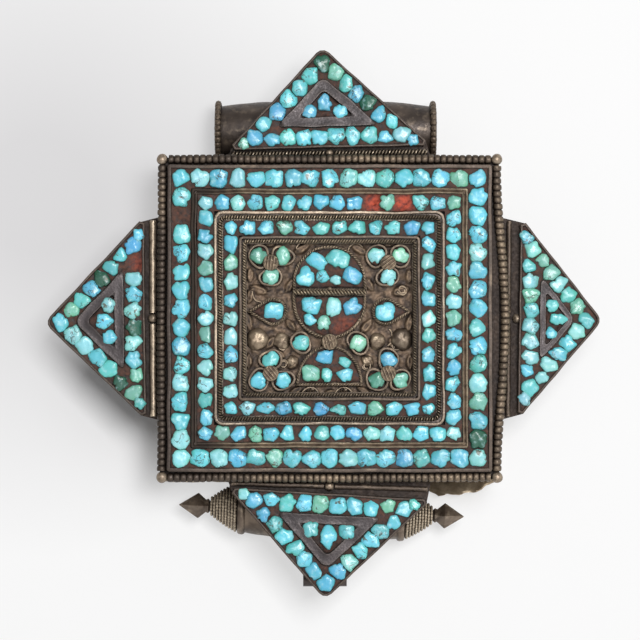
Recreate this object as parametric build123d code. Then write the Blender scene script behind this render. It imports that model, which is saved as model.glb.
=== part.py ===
"""Square amulet box with four triangular wings, set all over with turquoise in lac.

Millimetres. The box lies on its back: +Z comes out of the decorated face, +Y is the upper
edge with the cord tube and X runs along that tube. The origin lies under the middle of the
back plate.
"""

import os
from cmath import phase, rect
from math import acos, cos, degrees, pi, radians, sin, sqrt, tan
from random import Random

from build123d import *

# Plan of the face round the middle panel, from the edge inwards
RIM_WALL = 0.8
OUTER_ROW = 4.0
OUTER_STRIP = 1.2
MIDDLE_ROW = 3.4
INNER_ROW = 3.1
LIP = 0.6
MIDDLE_ROPE = 1.1
PANEL_ROPE = 0.9

# Beaded wire and balls
BEAD = 1.9
BEAD_PITCH = 1.75
BEAD_NECK = 0.62
BEAD_OVERHANG = 0.5
CORNER_BALL = 2.4
SIDE_BALL = 1.8

# Sheet metal of the case and of the tray behind it
SHEET = 0.8
BACK_SHEET = 0.9
FLANGE = 1.0
TRAY_SHEET = 0.7
TRAY_DEPTH = 12.0
SLIDE_GAP = 0.2
SEAT_GAP = 0.1

# Heights above the face sheet
RIM_HEIGHT = 1.9
OUTER_STRIP_HEIGHT = 2.3
STEP_HEIGHT = 1.9
LIP_RISE = 0.6
OUTER_BED = 0.9
MIDDLE_BED = 1.3
INNER_BED = 1.2
STONE_RISE = 1.6

# Stones in the rows
OUTER_PITCH = 3.8
MIDDLE_PITCH = 3.4
INNER_PITCH = 3.5
WING_PITCH = 3.2
STONE_GAP = 0.2

# Middle panel and its collets, which set the size of the panel
PANEL_SHEET = 0.5
PANEL_MARGIN = 0.2
MEDALLION_RADIUS = 7.3
MEDALLION_STILT = 1.8
MEDALLION_GAP = 0.4
MEDALLION_WALL = 0.5
MEDALLION_BAND = 0.9
MOUND_RADIUS = 6.6
MOUND_RISE = 8.0
MOUND_FOOT = 1.4
MOUND_GAP = 0.5
COLLET_RADIUS = 2.25
COLLET_GAP = 0.3
COLLET_WALL = 0.4
COLLET_HEIGHT = 1.4
COLLET_BED = 0.6
COLLET_STONE = 1.5
DROP_RADIUS = 2.7
DROP_LENGTH = 5.2
DROP_RISE = 1.3
BOSS_RADIUS = 1.9
SIDE_BOSS = 0.9
PEG_RADIUS = 0.45
STUD_SPACE = 1.4
STUD_RADIUS = 1.2

# Wings: strip along the base, its widening towards one end, reach of the tip, lean of the tip
WING_BASE = 41.0
TOP_STRIP = 1.5
TOP_SKEW = 1.0
TOP_REACH = 21.7
TOP_LEAN = -1.5
LEFT_STRIP = 2.8
LEFT_SKEW = 0.4
LEFT_REACH = 22.6
LEFT_LEAN = -0.9
BOTTOM_STRIP = 1.6
BOTTOM_SKEW = 2.4
BOTTOM_REACH = 23.4
BOTTOM_LEAN = 0.9
RIGHT_STRIP = 3.7
RIGHT_SKEW = 0.7
RIGHT_REACH = 20.3
RIGHT_LEAN = 0.4
WING_DEPTH = 3.3
WING_SHEET = 0.6
WING_DROP = 1.8
WING_TIP = 1.8
WING_CORNER = 0.6
WING_RIM = 0.5
WING_ROW = 3.7
WING_FRAME = 2.0
WING_FRAME_HEIGHT = 2.3
WING_BED = 0.9
BASE_WIRE = 1.0

# Cord tube, spindle bar and tassel tube
TABLE_GAP = 0.8
TUBE_X = -0.75
TUBE_RADIUS = 6.4
TUBE_END = 4.8
TUBE_SHEET = 0.7
TUBE_LENGTH = 45.2
TUBE_FOOT = 4.0
RING_BEAD = 1.3
SPINDLE_X = -1.6
SPINDLE_TILT = -2.7
SPINDLE_GAP = 0.5
SPINDLE_RADIUS = 6.2
SPINDLE_HALF = 22.8
SPINDLE_SHOULDER = 16.5
SPINDLE_RIBS = 6
SPINDLE_END = 1.7
SPINDLE_SIDES = 12
FINIAL_LENGTH = 6.3
FINIAL_WIDTH = 4.9
FINIAL_NECK = 2.6
TASSEL_RADIUS = 1.4
TASSEL_BORE = 0.8
TASSEL_LENGTH = 8.8
TASSEL_INSET = 3.0

# Plan sizes that follow, as half widths and half heights, from the panel outwards
MIDDLE_INSET = OUTER_ROW + OUTER_STRIP
MIDDLE_STRIP_INSET = MIDDLE_INSET + MIDDLE_ROW
MIDDLE_STRIP = LIP + SEAT_GAP + MIDDLE_ROPE
INNER_INSET = MIDDLE_STRIP_INSET + MIDDLE_STRIP
PANEL_FRAME_INSET = INNER_INSET + INNER_ROW
PANEL_FRAME = LIP + SEAT_GAP + PANEL_ROPE
PANEL_INSET = PANEL_FRAME_INSET + PANEL_FRAME
MEDALLION_HEIGHT = 2 * (MEDALLION_RADIUS + MEDALLION_STILT) + MEDALLION_GAP
PANEL_X = PANEL_MARGIN + 4 * COLLET_RADIUS + COLLET_GAP + MOUND_GAP + MOUND_RADIUS
PANEL_Y = (2 * PANEL_MARGIN + MEDALLION_HEIGHT + STUD_SPACE + MOUND_RISE + MOUND_FOOT) / 2
FACE_X = PANEL_X + PANEL_INSET
FACE_Y = PANEL_Y + PANEL_INSET
BEAD_X = FACE_X + RIM_WALL + SEAT_GAP + BEAD / 2
BEAD_Y = FACE_Y + RIM_WALL + SEAT_GAP + BEAD / 2
CASE_X = BEAD_X + BEAD / 2 - BEAD_OVERHANG
CASE_Y = BEAD_Y + BEAD / 2 - BEAD_OVERHANG

# Levels that follow
TUBE_REACH = max(TUBE_RADIUS, TUBE_END + SEAT_GAP + RING_BEAD)
TUBE_Z = TABLE_GAP + TUBE_REACH
SPINDLE_Z = TABLE_GAP + SPINDLE_RADIUS
WING_Z = max(TUBE_Z + TUBE_REACH, SPINDLE_Z + SPINDLE_RADIUS) + 0.3
WING_TOP = WING_Z + WING_DEPTH
FACE_Z = WING_TOP + WING_DROP
PANEL_Z = FACE_Z + PANEL_SHEET

# Where the bars stand off the case
TUBE_Y = CASE_Y + SEAT_GAP + TUBE_REACH
SPINDLE_Y = -(CASE_Y + SPINDLE_GAP + SPINDLE_RADIUS)


def slab(outline, z, height):
    """Flat face pushed up from level z."""
    return extrude(Pos(0, 0, z) * outline, amount=height)


def frame(half_x, half_y, band, z, height):
    """Four-sided frame with its outer edge at the half sizes and the band inside it."""
    outline = Rectangle(2 * half_x, 2 * half_y)
    window = Rectangle(2 * (half_x - band), 2 * (half_y - band))
    return slab(outline - window, z, height)


def face_frame(inset, band, z, height):
    """Frame on the face, its outer edge set in from the edge of the outer row."""
    return frame(FACE_X - inset, FACE_Y - inset, band, z, height)


def ring_solid(rings):
    """Solid with flat faces through parallel rings of points, each a scaled copy of the last."""
    count = len(rings[0])
    faces = [Face(Wire.make_polygon(rings[0])), Face(Wire.make_polygon(rings[-1]))]
    for low, high in zip(rings, rings[1:]):
        for i in range(count):
            j = (i + 1) % count
            faces.append(Face(Wire.make_polygon([low[i], low[j], high[j], high[i]])))
    return Solid(Shell(faces))


def turned(x, y, sides, stations):
    """Faceted solid on an upright axis through stations of (radius, level)."""
    rings = []
    for radius, z in stations:
        turns = [2 * pi * (k + 0.5) / sides for k in range(sides)]
        rings.append([Vector(x + radius * cos(t), y + radius * sin(t), z) for t in turns])
    return ring_solid(rings)


def turned_along_x(y, z, sides, stations, lead=0.5):
    """Faceted solid on an axis along X through stations of (x, radius)."""
    rings = []
    for x, radius in stations:
        turns = [2 * pi * (k + lead) / sides for k in range(sides)]
        rings.append([Vector(x, y + radius * cos(t), z + radius * sin(t)) for t in turns])
    return ring_solid(rings)


def ball(x, y, diameter, seat):
    """Small ball flattened where it sits."""
    radius = diameter / 2
    lift = radius * sin(radians(58))
    stations = []
    for latitude in (-58, 0, 58):
        angle = radians(latitude)
        stations.append((radius * cos(angle), seat + lift + radius * sin(angle)))
    return turned(x, y, 7, stations)


def boss(x, y, radius, seat):
    """Half-round boss."""
    stations = [(radius, seat), (radius * 0.8, seat + radius * 0.45), (radius * 0.35, seat + radius * 0.7)]
    return turned(x, y, 7, stations)


def bead_string(start, end, seat):
    """Beaded wire from one point of the face to another, lying on a level."""
    run = end - start
    count = round(abs(run) / BEAD_PITCH)
    along = run / abs(run)
    across = along * 1j
    rings = []
    for k in range(2 * count + 1):
        size = BEAD / 2 * (1 if k % 2 else BEAD_NECK)
        middle = start + run * k / (2 * count)
        ring = []
        for m in range(5):
            turn = 2 * pi * m / 5
            point = middle + across * size * sin(turn)
            level = seat + BEAD / 2 * cos(pi / 5) + size * cos(turn)
            ring.append(Vector(point.real, point.imag, level))
        rings.append(ring)
    return ring_solid(rings)


def bead_ring(x, y, z, radius):
    """Closed ring of beads round an axis along X."""
    count = round(2 * pi * radius / (1.3 * RING_BEAD))
    sections = []
    for k in range(2 * count):
        size = RING_BEAD / 2 * (1 if k % 2 else BEAD_NECK)
        turn = pi * k / count
        section = []
        for m in range(4):
            reach = radius + size * cos(pi * m / 2)
            side = size * sin(pi * m / 2)
            section.append(Vector(x + side, y + reach * cos(turn), z + reach * sin(turn)))
        sections.append(section)
    faces = []
    for k, here in enumerate(sections):
        there = sections[(k + 1) % len(sections)]
        for i in range(4):
            j = (i + 1) % 4
            faces.append(Face(Wire.make_polygon([here[i], here[j], there[j]])))
            faces.append(Face(Wire.make_polygon([here[i], there[j], there[i]])))
    return Solid(Shell(faces))


def stone(middle, angle, half_length, half_width, seat, rise, rng, squareness=2.6, corners=6):
    """One stone: an uneven outline of a few corners that narrows to a flattened crown."""
    outline = []
    start = rng.uniform(0, pi) if corners == 5 else radians(30)
    for k in range(corners):
        turn = start + 2 * pi * (k + rng.uniform(-0.16, 0.16)) / corners
        along = abs(cos(turn) / half_length) ** squareness
        across = abs(sin(turn) / half_width) ** squareness
        reach = (along + across) ** (-1 / squareness)
        outline.append(rect(reach * rng.uniform(0.94, 1.0), turn + angle))
    crown = rng.uniform(0.6, 0.7)
    top = seat + rise * rng.uniform(0.85, 1.0)
    low = [Vector((middle + p).real, (middle + p).imag, seat) for p in outline]
    high = [Vector((middle + crown * p).real, (middle + crown * p).imag, top) for p in outline]
    return ring_solid([low, high])


def row_sites(corners, row, pitch):
    """Places for stones in a channel just inside a convex outline that turns to the left.

    Each site is (middle, angle, half length, half width, squareness)."""
    half = row / 2 - STONE_GAP
    count = len(corners)
    turns = []
    for i, corner in enumerate(corners):
        back = corners[i - 1] - corner
        ahead = corners[(i + 1) % count] - corner
        bisector = back / abs(back) + ahead / abs(ahead)
        bisector = bisector / abs(bisector)
        half_angle = abs(phase(bisector / ahead))
        turns.append((corner + bisector * row / 2 / sin(half_angle), bisector, half_angle))
    sites = []
    for i, corner in enumerate(corners):
        middle, bisector, half_angle = turns[i]
        sites.append((middle, phase(bisector), half, half, 2.0))
        share = (1 - sin(half_angle)) / (1 + sin(half_angle))
        if half * share > 0.6:
            reach = (half * share + STONE_GAP) / sin(half_angle)
            sites.append((corner + bisector * reach, phase(bisector), half * share, half * share, 2.0))
        far, _, far_angle = turns[(i + 1) % count]
        run = abs(far - middle)
        along = (far - middle) / run
        free = run - 2 * half - STONE_GAP
        number = max(1, round(free / pitch))
        step = free / number
        half_length = (step - STONE_GAP) / 2
        for k in range(number):
            t = half + STONE_GAP / 2 + step * (k + 0.5)
            near_limit = (t - half_length) * tan(half_angle) - STONE_GAP / 2
            far_limit = (run - t - half_length) * tan(far_angle) - STONE_GAP / 2
            inner = min(half, near_limit, far_limit)
            place = middle + along * t - along * 1j * (half - inner) / 2
            sites.append((place, phase(along), half_length, (half + inner) / 2, 3.6))
    return sites


def stones_at(sites, seat, rise, seed, missing=(), corners=6):
    """Stones on the sites, leaving out the site nearest to each missing one."""
    rng = Random(seed)
    kept = list(sites)
    for gone in missing:
        kept.remove(min(kept, key=lambda site: abs(site[0] - gone)))
    stones = []
    for middle, angle, half_length, half_width, squareness in kept:
        stones.append(stone(middle, angle, half_length, half_width, seat, rise, rng, squareness, corners))
    return stones


def rectangle_corners(half_x, half_y):
    return [
        complex(-half_x, half_y),
        complex(-half_x, -half_y),
        complex(half_x, -half_y),
        complex(half_x, half_y),
    ]


def inset_corners(corners, distance):
    """Corners of a convex outline moved in by a distance on every side."""
    moved = []
    for i, corner in enumerate(corners):
        back = corners[i - 1] - corner
        ahead = corners[(i + 1) % len(corners)] - corner
        bisector = back / abs(back) + ahead / abs(ahead)
        bisector = bisector / abs(bisector)
        moved.append(corner + bisector * distance / sin(abs(phase(bisector / ahead))))
    return moved


def rounded(corners, radii, steps):
    """Corners of a convex outline, each replaced by a bend of its radius in a number of points."""
    outline = []
    for i, corner in enumerate(corners):
        back = corners[i - 1] - corner
        ahead = corners[(i + 1) % len(corners)] - corner
        bisector = back / abs(back) + ahead / abs(ahead)
        bisector = bisector / abs(bisector)
        half_angle = abs(phase(bisector / ahead))
        centre = corner + bisector * radii[i] / sin(half_angle)
        for k in range(steps[i]):
            turn = (2 * k / (steps[i] - 1) - 1) * (pi / 2 - half_angle)
            outline.append(centre - bisector * rect(radii[i], turn))
    return outline


def outline_of(corners):
    return make_face(Polyline([(p.real, p.imag) for p in corners], close=True))


def incentre(corners):
    a, b, c = corners
    sides = [abs(b - c), abs(c - a), abs(a - b)]
    return (a * sides[0] + b * sides[1] + c * sides[2]) / sum(sides)


def inradius(corners):
    a, b, c = corners
    sides = [abs(a - b), abs(b - c), abs(c - a)]
    area = abs(((b - a).conjugate() * (c - a)).imag) / 2
    return 2 * area / sum(sides)


def bow(half_x, rise, start, end, steps):
    """Points along a faceted elliptical bow about the origin, between two angles."""
    turns = [start + (end - start) * k / steps for k in range(steps + 1)]
    return [complex(half_x * cos(t), rise * sin(t)) for t in turns]


def arch(radius, y, foot, upward):
    """Half disc on straight legs, its centre at y on the middle line and its foot at a level."""
    rise = radius if upward else -radius
    crown = [p + complex(0, y) for p in bow(radius, rise, 0, pi, 16)]
    return outline_of(crown + [complex(-radius, foot), complex(radius, foot)])


def half_ellipse(half_x, rise, foot):
    return outline_of([p + complex(0, foot) for p in bow(half_x, rise, 0, pi, 16)])


def drop(radius, length, side):
    """Drop outline with its round end at the origin and its point on one side along X."""
    angle = acos(radius / length)
    line = bow(side * radius, radius, angle, 2 * pi - angle, 12)
    return outline_of(line + [complex(side * length, 0)])


parts = {}

# Tray: back plate with a flange, and the band that slides into the case
tray_x = CASE_X - SHEET - SLIDE_GAP
tray_y = CASE_Y - SHEET - SLIDE_GAP
parts["back_plate"] = slab(Rectangle(2 * (CASE_X + FLANGE), 2 * (CASE_Y + FLANGE)), 0, BACK_SHEET)
parts["tray_band"] = frame(tray_x, tray_y, TRAY_SHEET, BACK_SHEET, TRAY_DEPTH)

# Case: side band and face sheet
band_height = FACE_Z - SHEET - BACK_SHEET
parts["case_band"] = frame(CASE_X, CASE_Y, SHEET, BACK_SHEET, band_height)
parts["face_plate"] = slab(Rectangle(2 * CASE_X, 2 * CASE_Y), FACE_Z - SHEET, SHEET)

# Beaded border with a ball on each corner
bead_stop = CORNER_BALL / 2 + SEAT_GAP
border = []
for side in (-1, 1):
    across_x = BEAD_X - bead_stop
    across_y = BEAD_Y - bead_stop
    border.append(bead_string(complex(-across_x, side * BEAD_Y), complex(across_x, side * BEAD_Y), FACE_Z))
    border.append(bead_string(complex(side * BEAD_X, -across_y), complex(side * BEAD_X, across_y), FACE_Z))
parts["bead_border"] = Compound(border)
corner_spots = rectangle_corners(BEAD_X, BEAD_Y)
balls = [ball(p.real, p.imag, CORNER_BALL, FACE_Z) for p in corner_spots]

# Strips that part the rows, and the two twisted wires that lie on the inner ones
parts["rim_wall"] = face_frame(-RIM_WALL, RIM_WALL, FACE_Z, RIM_HEIGHT)
parts["outer_strip"] = face_frame(OUTER_ROW, OUTER_STRIP, FACE_Z, OUTER_STRIP_HEIGHT)
middle_step = face_frame(MIDDLE_STRIP_INSET, MIDDLE_STRIP, FACE_Z, STEP_HEIGHT)
middle_lip = face_frame(MIDDLE_STRIP_INSET, LIP, FACE_Z, STEP_HEIGHT + LIP_RISE)
parts["middle_strip"] = middle_step + middle_lip
panel_step = face_frame(PANEL_FRAME_INSET, PANEL_FRAME, FACE_Z, STEP_HEIGHT)
panel_lip = face_frame(PANEL_FRAME_INSET, LIP, FACE_Z, STEP_HEIGHT + LIP_RISE)
parts["panel_frame"] = panel_step + panel_lip
rope_z = FACE_Z + STEP_HEIGHT
middle_rope_inset = MIDDLE_STRIP_INSET + LIP + SEAT_GAP
panel_rope_inset = PANEL_FRAME_INSET + LIP + SEAT_GAP
parts["middle_rope"] = face_frame(middle_rope_inset, MIDDLE_ROPE, rope_z, MIDDLE_ROPE * 0.8)
parts["panel_rope"] = face_frame(panel_rope_inset, PANEL_ROPE, rope_z, PANEL_ROPE * 0.8)

# Lac beds and stones of the three rows
rows = {
    "outer_row": (0, OUTER_ROW, OUTER_BED, OUTER_PITCH, 6),
    "middle_row": (MIDDLE_INSET, MIDDLE_ROW, MIDDLE_BED, MIDDLE_PITCH, 5),
    "inner_row": (INNER_INSET, INNER_ROW, INNER_BED, INNER_PITCH, 5),
}
fallen = {
    "outer_row": [complex(-FACE_X + OUTER_ROW / 2, 20.5)],
    "middle_row": [complex(9.2, 22.9), complex(14.8, 22.9)],
    "inner_row": [],
}
for seed, (name, (inset, row, bed, pitch, corners)) in enumerate(rows.items()):
    parts[name + "_bed"] = face_frame(inset, row, FACE_Z, bed)
    sites = row_sites(rectangle_corners(FACE_X - inset, FACE_Y - inset), row, pitch)
    stones = stones_at(sites, FACE_Z + bed, STONE_RISE, seed + 11, fallen[name], corners)
    parts[name + "_stones"] = Compound(stones)

# Middle panel: medallion in two halves, mound below, round and drop-shaped collets
parts["panel_plate"] = slab(Rectangle(2 * PANEL_X, 2 * PANEL_Y), FACE_Z, PANEL_SHEET)
rng = Random(5)
bed_z = PANEL_Z + COLLET_BED
dome_y = PANEL_Y - 2 * PANEL_MARGIN - MEDALLION_RADIUS
dome_foot = dome_y - MEDALLION_STILT
bowl_foot = dome_foot - MEDALLION_GAP
bowl_y = bowl_foot - MEDALLION_STILT
inner_radius = MEDALLION_RADIUS - MEDALLION_WALL
dome_room = arch(inner_radius, dome_y, dome_foot + MEDALLION_BAND, True)
bowl_room = arch(inner_radius, bowl_y, bowl_foot - MEDALLION_BAND, False)
dome_wall = arch(MEDALLION_RADIUS, dome_y, dome_foot, True) - dome_room
bowl_wall = arch(MEDALLION_RADIUS, bowl_y, bowl_foot, False) - bowl_room
parts["dome_collet"] = slab(dome_wall, PANEL_Z, COLLET_HEIGHT)
parts["bowl_collet"] = slab(bowl_wall, PANEL_Z, COLLET_HEIGHT)
mound_top = bowl_y - MEDALLION_RADIUS - STUD_SPACE
mound_foot = mound_top - MOUND_RISE
mound_room = half_ellipse(
    MOUND_RADIUS - MEDALLION_WALL, MOUND_RISE - 2 * MEDALLION_WALL, mound_foot + MEDALLION_WALL
)
mound_wall = half_ellipse(MOUND_RADIUS, MOUND_RISE, mound_foot) - mound_room
parts["mound_collet"] = slab(mound_wall, PANEL_Z, COLLET_HEIGHT)
collet_beds = [slab(room, PANEL_Z, COLLET_BED) for room in (dome_room, bowl_room, mound_room)]

# Stones of the medallion and the mound, as shares of the room they lie in
dome_stones = [
    (0.24, 0.70, 0.38, 0.20, -15),
    (-0.36, 0.60, 0.30, 0.19, -40),
    (-0.70, 0.15, 0.27, 0.22, 60),
    (-0.19, 0.17, 0.17, 0.16, 0),
    (0.19, 0.06, 0.14, 0.12, 0),
    (0.62, 0.22, 0.33, 0.18, -28),
]
bowl_stones = [
    (-0.50, -0.10, 0.30, 0.21, 0),
    (0.12, -0.17, 0.28, 0.19, 90),
    (0.66, -0.14, 0.27, 0.18, 35),
    (-0.56, -0.50, 0.18, 0.15, 0),
    (-0.16, -0.62, 0.18, 0.17, 90),
]
mound_stones = [
    (-0.10, 0.75, 0.35, 0.18, 0),
    (-0.62, 0.29, 0.26, 0.24, 0),
    (-0.07, 0.24, 0.21, 0.17, 90),
    (0.48, 0.24, 0.27, 0.20, 0),
    (0.50, 0.60, 0.19, 0.13, -20),
]
mound_x = MOUND_RADIUS - MEDALLION_WALL
mound_y = MOUND_RISE - 2 * MEDALLION_WALL
medallion_sets = {
    "dome_stones": (dome_stones, dome_y, inner_radius, inner_radius),
    "bowl_stones": (bowl_stones, bowl_y, inner_radius, inner_radius),
    "mound_stones": (mound_stones, mound_foot + MEDALLION_WALL, mound_x, mound_y),
}
for name, (places, y, scale_x, scale_y) in medallion_sets.items():
    stones = []
    for u, v, length, width, turn in places:
        spot = complex(u * scale_x, y + v * scale_y)
        size = min(scale_x, scale_y)
        stones.append(
            stone(spot, radians(turn), length * size, width * size, bed_z, COLLET_STONE, rng, 2.2)
        )
    parts[name] = Compound(stones)

# Round collets in the corners beside the mound, in threes round a stud
half_step = COLLET_RADIUS + COLLET_GAP / 2
trefoil_reach = 2 * half_step / sqrt(3)
trefoil_x = PANEL_X - PANEL_MARGIN - COLLET_RADIUS - half_step
trefoil_y = PANEL_Y - PANEL_MARGIN - COLLET_RADIUS - trefoil_reach / 2
round_reach = MEDALLION_RADIUS + MEDALLION_GAP + COLLET_RADIUS
round_x = round_reach * cos(radians(55))
round_y = bowl_y - round_reach * sin(radians(55))
collet_spots = []
trefoil_middles = []
for side in (-1, 1):
    for end in (-1, 1):
        middle = complex(side * trefoil_x, end * trefoil_y)
        trefoil_middles.append(middle)
        for turn in (30, 150, 270):
            collet_spots.append(middle + end * rect(trefoil_reach, radians(turn)))
    collet_spots.append(complex(side * round_x, round_y))
room_radius = COLLET_RADIUS - COLLET_WALL
collet_ring = RegularPolygon(COLLET_RADIUS, 8) - RegularPolygon(room_radius, 8)
collets = []
collet_stones = []
for spot in collet_spots:
    place = Pos(spot.real, spot.imag)
    collets.append(slab(place * collet_ring, PANEL_Z, COLLET_HEIGHT).solid())
    collet_beds.append(slab(place * RegularPolygon(room_radius, 8), PANEL_Z, COLLET_BED))
    size = trefoil_reach - STUD_RADIUS - STONE_GAP / 2
    turn = rng.uniform(0, pi)
    collet_stones.append(stone(spot, turn, size, size * 0.92, bed_z, COLLET_STONE, rng, 2.0))
parts["round_collets"] = Compound(collets)
parts["round_collet_stones"] = Compound(collet_stones)

# Drop-shaped collets at the two sides, pointing outwards
drop_x = PANEL_X - PANEL_MARGIN - DROP_LENGTH
drop_room = DROP_RADIUS - COLLET_WALL
drop_room_length = DROP_LENGTH - COLLET_WALL * DROP_LENGTH / DROP_RADIUS
drops = []
drop_stones = []
for side in (-1, 1):
    place = Pos(side * drop_x, DROP_RISE)
    room = drop(drop_room, drop_room_length, side)
    drops.append(slab(place * (drop(DROP_RADIUS, DROP_LENGTH, side) - room), PANEL_Z, COLLET_HEIGHT).solid())
    collet_beds.append(slab(place * room, PANEL_Z, COLLET_BED))
    spot = complex(side * drop_x, DROP_RISE)
    size = drop_room - STONE_GAP / 2
    drop_stones.append(stone(spot, 0, size, size * 0.95, bed_z, COLLET_STONE, rng, 2.0))
parts["drop_collets"] = Compound(drops)
parts["drop_stones"] = Compound(drop_stones)
parts["collet_beds"] = Compound([bed.solid() for bed in collet_beds])

# Studs on pegs between the collets, and plain bosses on the panel
stud_z = PANEL_Z + COLLET_HEIGHT + SEAT_GAP
stud_spots = trefoil_middles + [complex(0, mound_top + STUD_SPACE / 2)]
studs = []
for spot in stud_spots:
    stations = [
        (PEG_RADIUS, PANEL_Z),
        (PEG_RADIUS, stud_z),
        (STUD_RADIUS, stud_z),
        (STUD_RADIUS, stud_z + 0.4),
        (STUD_RADIUS * 0.7, stud_z + 0.8),
    ]
    studs.append(turned(spot.real, spot.imag, 7, stations))
parts["panel_studs"] = Compound(studs)
boss_x = PANEL_X - PANEL_MARGIN - BOSS_RADIUS
small_boss = BOSS_RADIUS * 0.75
bosses = []
for side in (-1, 1):
    bosses.append(boss(side * boss_x, round_y + 0.7, BOSS_RADIUS, PANEL_Z))
    bosses.append(boss(side * (boss_x - 2.6 * BOSS_RADIUS), round_y + 0.3, small_boss, PANEL_Z))
    bosses.append(boss(side * (MOUND_RADIUS + SIDE_BOSS), mound_foot + 0.62 * MOUND_RISE, SIDE_BOSS, PANEL_Z))
    bosses.append(boss(side * MOUND_RADIUS / 2, mound_foot - MOUND_FOOT / 2, MOUND_FOOT * 0.35, PANEL_Z))
bosses.append(boss(0, dome_foot + MEDALLION_BAND / 2, MEDALLION_BAND * 0.46, PANEL_Z + COLLET_HEIGHT))
parts["panel_bosses"] = Compound(bosses)

# Wings, drawn pointing along +Y from the case wall and then turned to their sides
top_strip = (TOP_STRIP, TOP_STRIP + TOP_SKEW)
left_strip = (LEFT_STRIP, LEFT_STRIP + LEFT_SKEW)
bottom_strip = (BOTTOM_STRIP + BOTTOM_SKEW, BOTTOM_STRIP)
right_strip = (RIGHT_STRIP + RIGHT_SKEW, RIGHT_STRIP)
wing_places = {
    "top": (Pos(0, CASE_Y), top_strip, TOP_REACH, TOP_LEAN, 21),
    "left": (Pos(-CASE_X, 0) * Rot(0, 0, 90), left_strip, LEFT_REACH, LEFT_LEAN, 22),
    "bottom": (Pos(0, -CASE_Y) * Rot(0, 0, 180), bottom_strip, BOTTOM_REACH, BOTTOM_LEAN, 23),
    "right": (Pos(CASE_X, 0) * Rot(0, 0, -90), right_strip, RIGHT_REACH, RIGHT_LEAN, 24),
}
half_base = WING_BASE / 2
wing_backs = []
base_wires = []
for side, (place, strips, reach, lean, seed) in wing_places.items():
    strip = sum(strips) / 2
    base = [complex(-half_base, strips[0]), complex(half_base, strips[1])]
    tip = complex(lean, reach)
    half_tip = abs(phase((base[0] - tip) / (base[1] - tip))) / 2
    triangle = base + [complex(lean, reach + WING_TIP * (1 / sin(half_tip) - 1))]
    edge_line = rounded(triangle, (WING_CORNER, WING_CORNER, WING_TIP), (2, 2, 4))
    bed_line = inset_corners(edge_line, WING_RIM)
    border_line = inset_corners(triangle, WING_RIM)
    frame_line = inset_corners(triangle, WING_RIM + WING_ROW)
    room_line = inset_corners(triangle, WING_RIM + WING_ROW + WING_FRAME)
    box_line = [complex(-half_base, 0), complex(half_base, 0)] + edge_line[3:] + edge_line[:1]
    box_room = inset_corners(box_line, WING_SHEET)
    box = slab(outline_of(box_line), WING_Z, WING_DEPTH)
    box = box - slab(outline_of(box_room), WING_Z, WING_DEPTH - WING_SHEET)
    rim = slab(outline_of(edge_line) - outline_of(bed_line), WING_TOP, RIM_HEIGHT)
    inner_frame = slab(outline_of(frame_line) - outline_of(room_line), WING_TOP, WING_FRAME_HEIGHT)
    border_bed = slab(outline_of(bed_line) - outline_of(frame_line), WING_TOP, WING_BED)
    room_bed = slab(outline_of(room_line), WING_TOP, WING_BED + 0.3)
    sites = row_sites(border_line, WING_ROW, WING_PITCH)
    stones = stones_at(sites, WING_TOP + WING_BED, STONE_RISE, seed, (), 5)
    room = inradius(room_line)
    along = (base[1] - base[0]) / abs(base[1] - base[0])
    inside_rng = Random(seed + 40)
    for u, v, half_x, half_y in ((-1.1, -0.45, 0.47, 0.46), (1.1, -0.45, 0.47, 0.46), (0, 0.0, 0.42, 0.8)):
        spot = incentre(room_line) + along * complex(u, v) * room
        level = WING_TOP + WING_BED + 0.3
        stones.append(
            stone(spot, phase(along), half_x * room, half_y * room, level, STONE_RISE, inside_rng, 2.2)
        )
    wing_backs.append(place * slab(outline_of(box_room), WING_Z, WING_SHEET).solid())
    middle_line = complex(0, strip / 2)
    for corner in base:
        run = complex(corner.real, corner.imag / 2) - middle_line
        wire_start = middle_line + run / abs(run) * (SIDE_BALL / 2 + SEAT_GAP)
        stations = [(0, BASE_WIRE / 2), (abs(run) - SIDE_BALL, BASE_WIRE / 2)]
        wire = turned_along_x(0, BASE_WIRE / 2 * cos(pi / 6), 6, stations, 0.0)
        turn = Pos(wire_start.real, wire_start.imag, WING_TOP) * Rot(0, 0, degrees(phase(run)))
        base_wires.append(place * turn * wire)
    balls.append(place * ball(0, strip / 2, SIDE_BALL, WING_TOP))
    parts[side + "_wing_box"] = place * box.solid()
    parts[side + "_wing_rim"] = place * rim.solid()
    parts[side + "_wing_frame"] = place * inner_frame.solid()
    parts[side + "_wing_beds"] = Compound([place * border_bed.solid(), place * room_bed.solid()])
    parts[side + "_wing_stones"] = Compound([place * each for each in stones])
parts["wing_backs"] = Compound(wing_backs)
parts["base_wires"] = Compound(base_wires)
parts["silver_balls"] = Compound(balls)

# Cord tube above, swelling to its middle, with a flat foot soldered to the case and beaded rings
ring_x = TUBE_LENGTH / 2 - RING_BEAD / 2
tube_start = TUBE_X - TUBE_LENGTH / 2
swell = TUBE_RADIUS - TUBE_END
stations = []
for share, part in ((1.0, 0.0), (0.93, 0.0), (0.75, 0.6), (0.4, 0.92)):
    stations.append((TUBE_X - share * TUBE_LENGTH / 2, TUBE_END + part * swell))
stations += [(2 * TUBE_X - x, radius) for x, radius in reversed(stations)]
tube_axis = Plane((tube_start, TUBE_Y, TUBE_Z), x_dir=(0, 1, 0), z_dir=(1, 0, 0))
foot_length = TUBE_LENGTH - 4 * RING_BEAD
foot_depth = TUBE_Y - CASE_Y
tube = Part(turned_along_x(TUBE_Y, TUBE_Z, 20, stations).wrapped)
tube += Pos(TUBE_X, TUBE_Y - foot_depth / 2, TUBE_Z) * Box(foot_length, foot_depth, TUBE_FOOT)
tube -= extrude(tube_axis * Circle(TUBE_END - TUBE_SHEET), amount=TUBE_LENGTH)
parts["cord_tube"] = tube.solid()
ring_radius = TUBE_END + SEAT_GAP + RING_BEAD / 2
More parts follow.
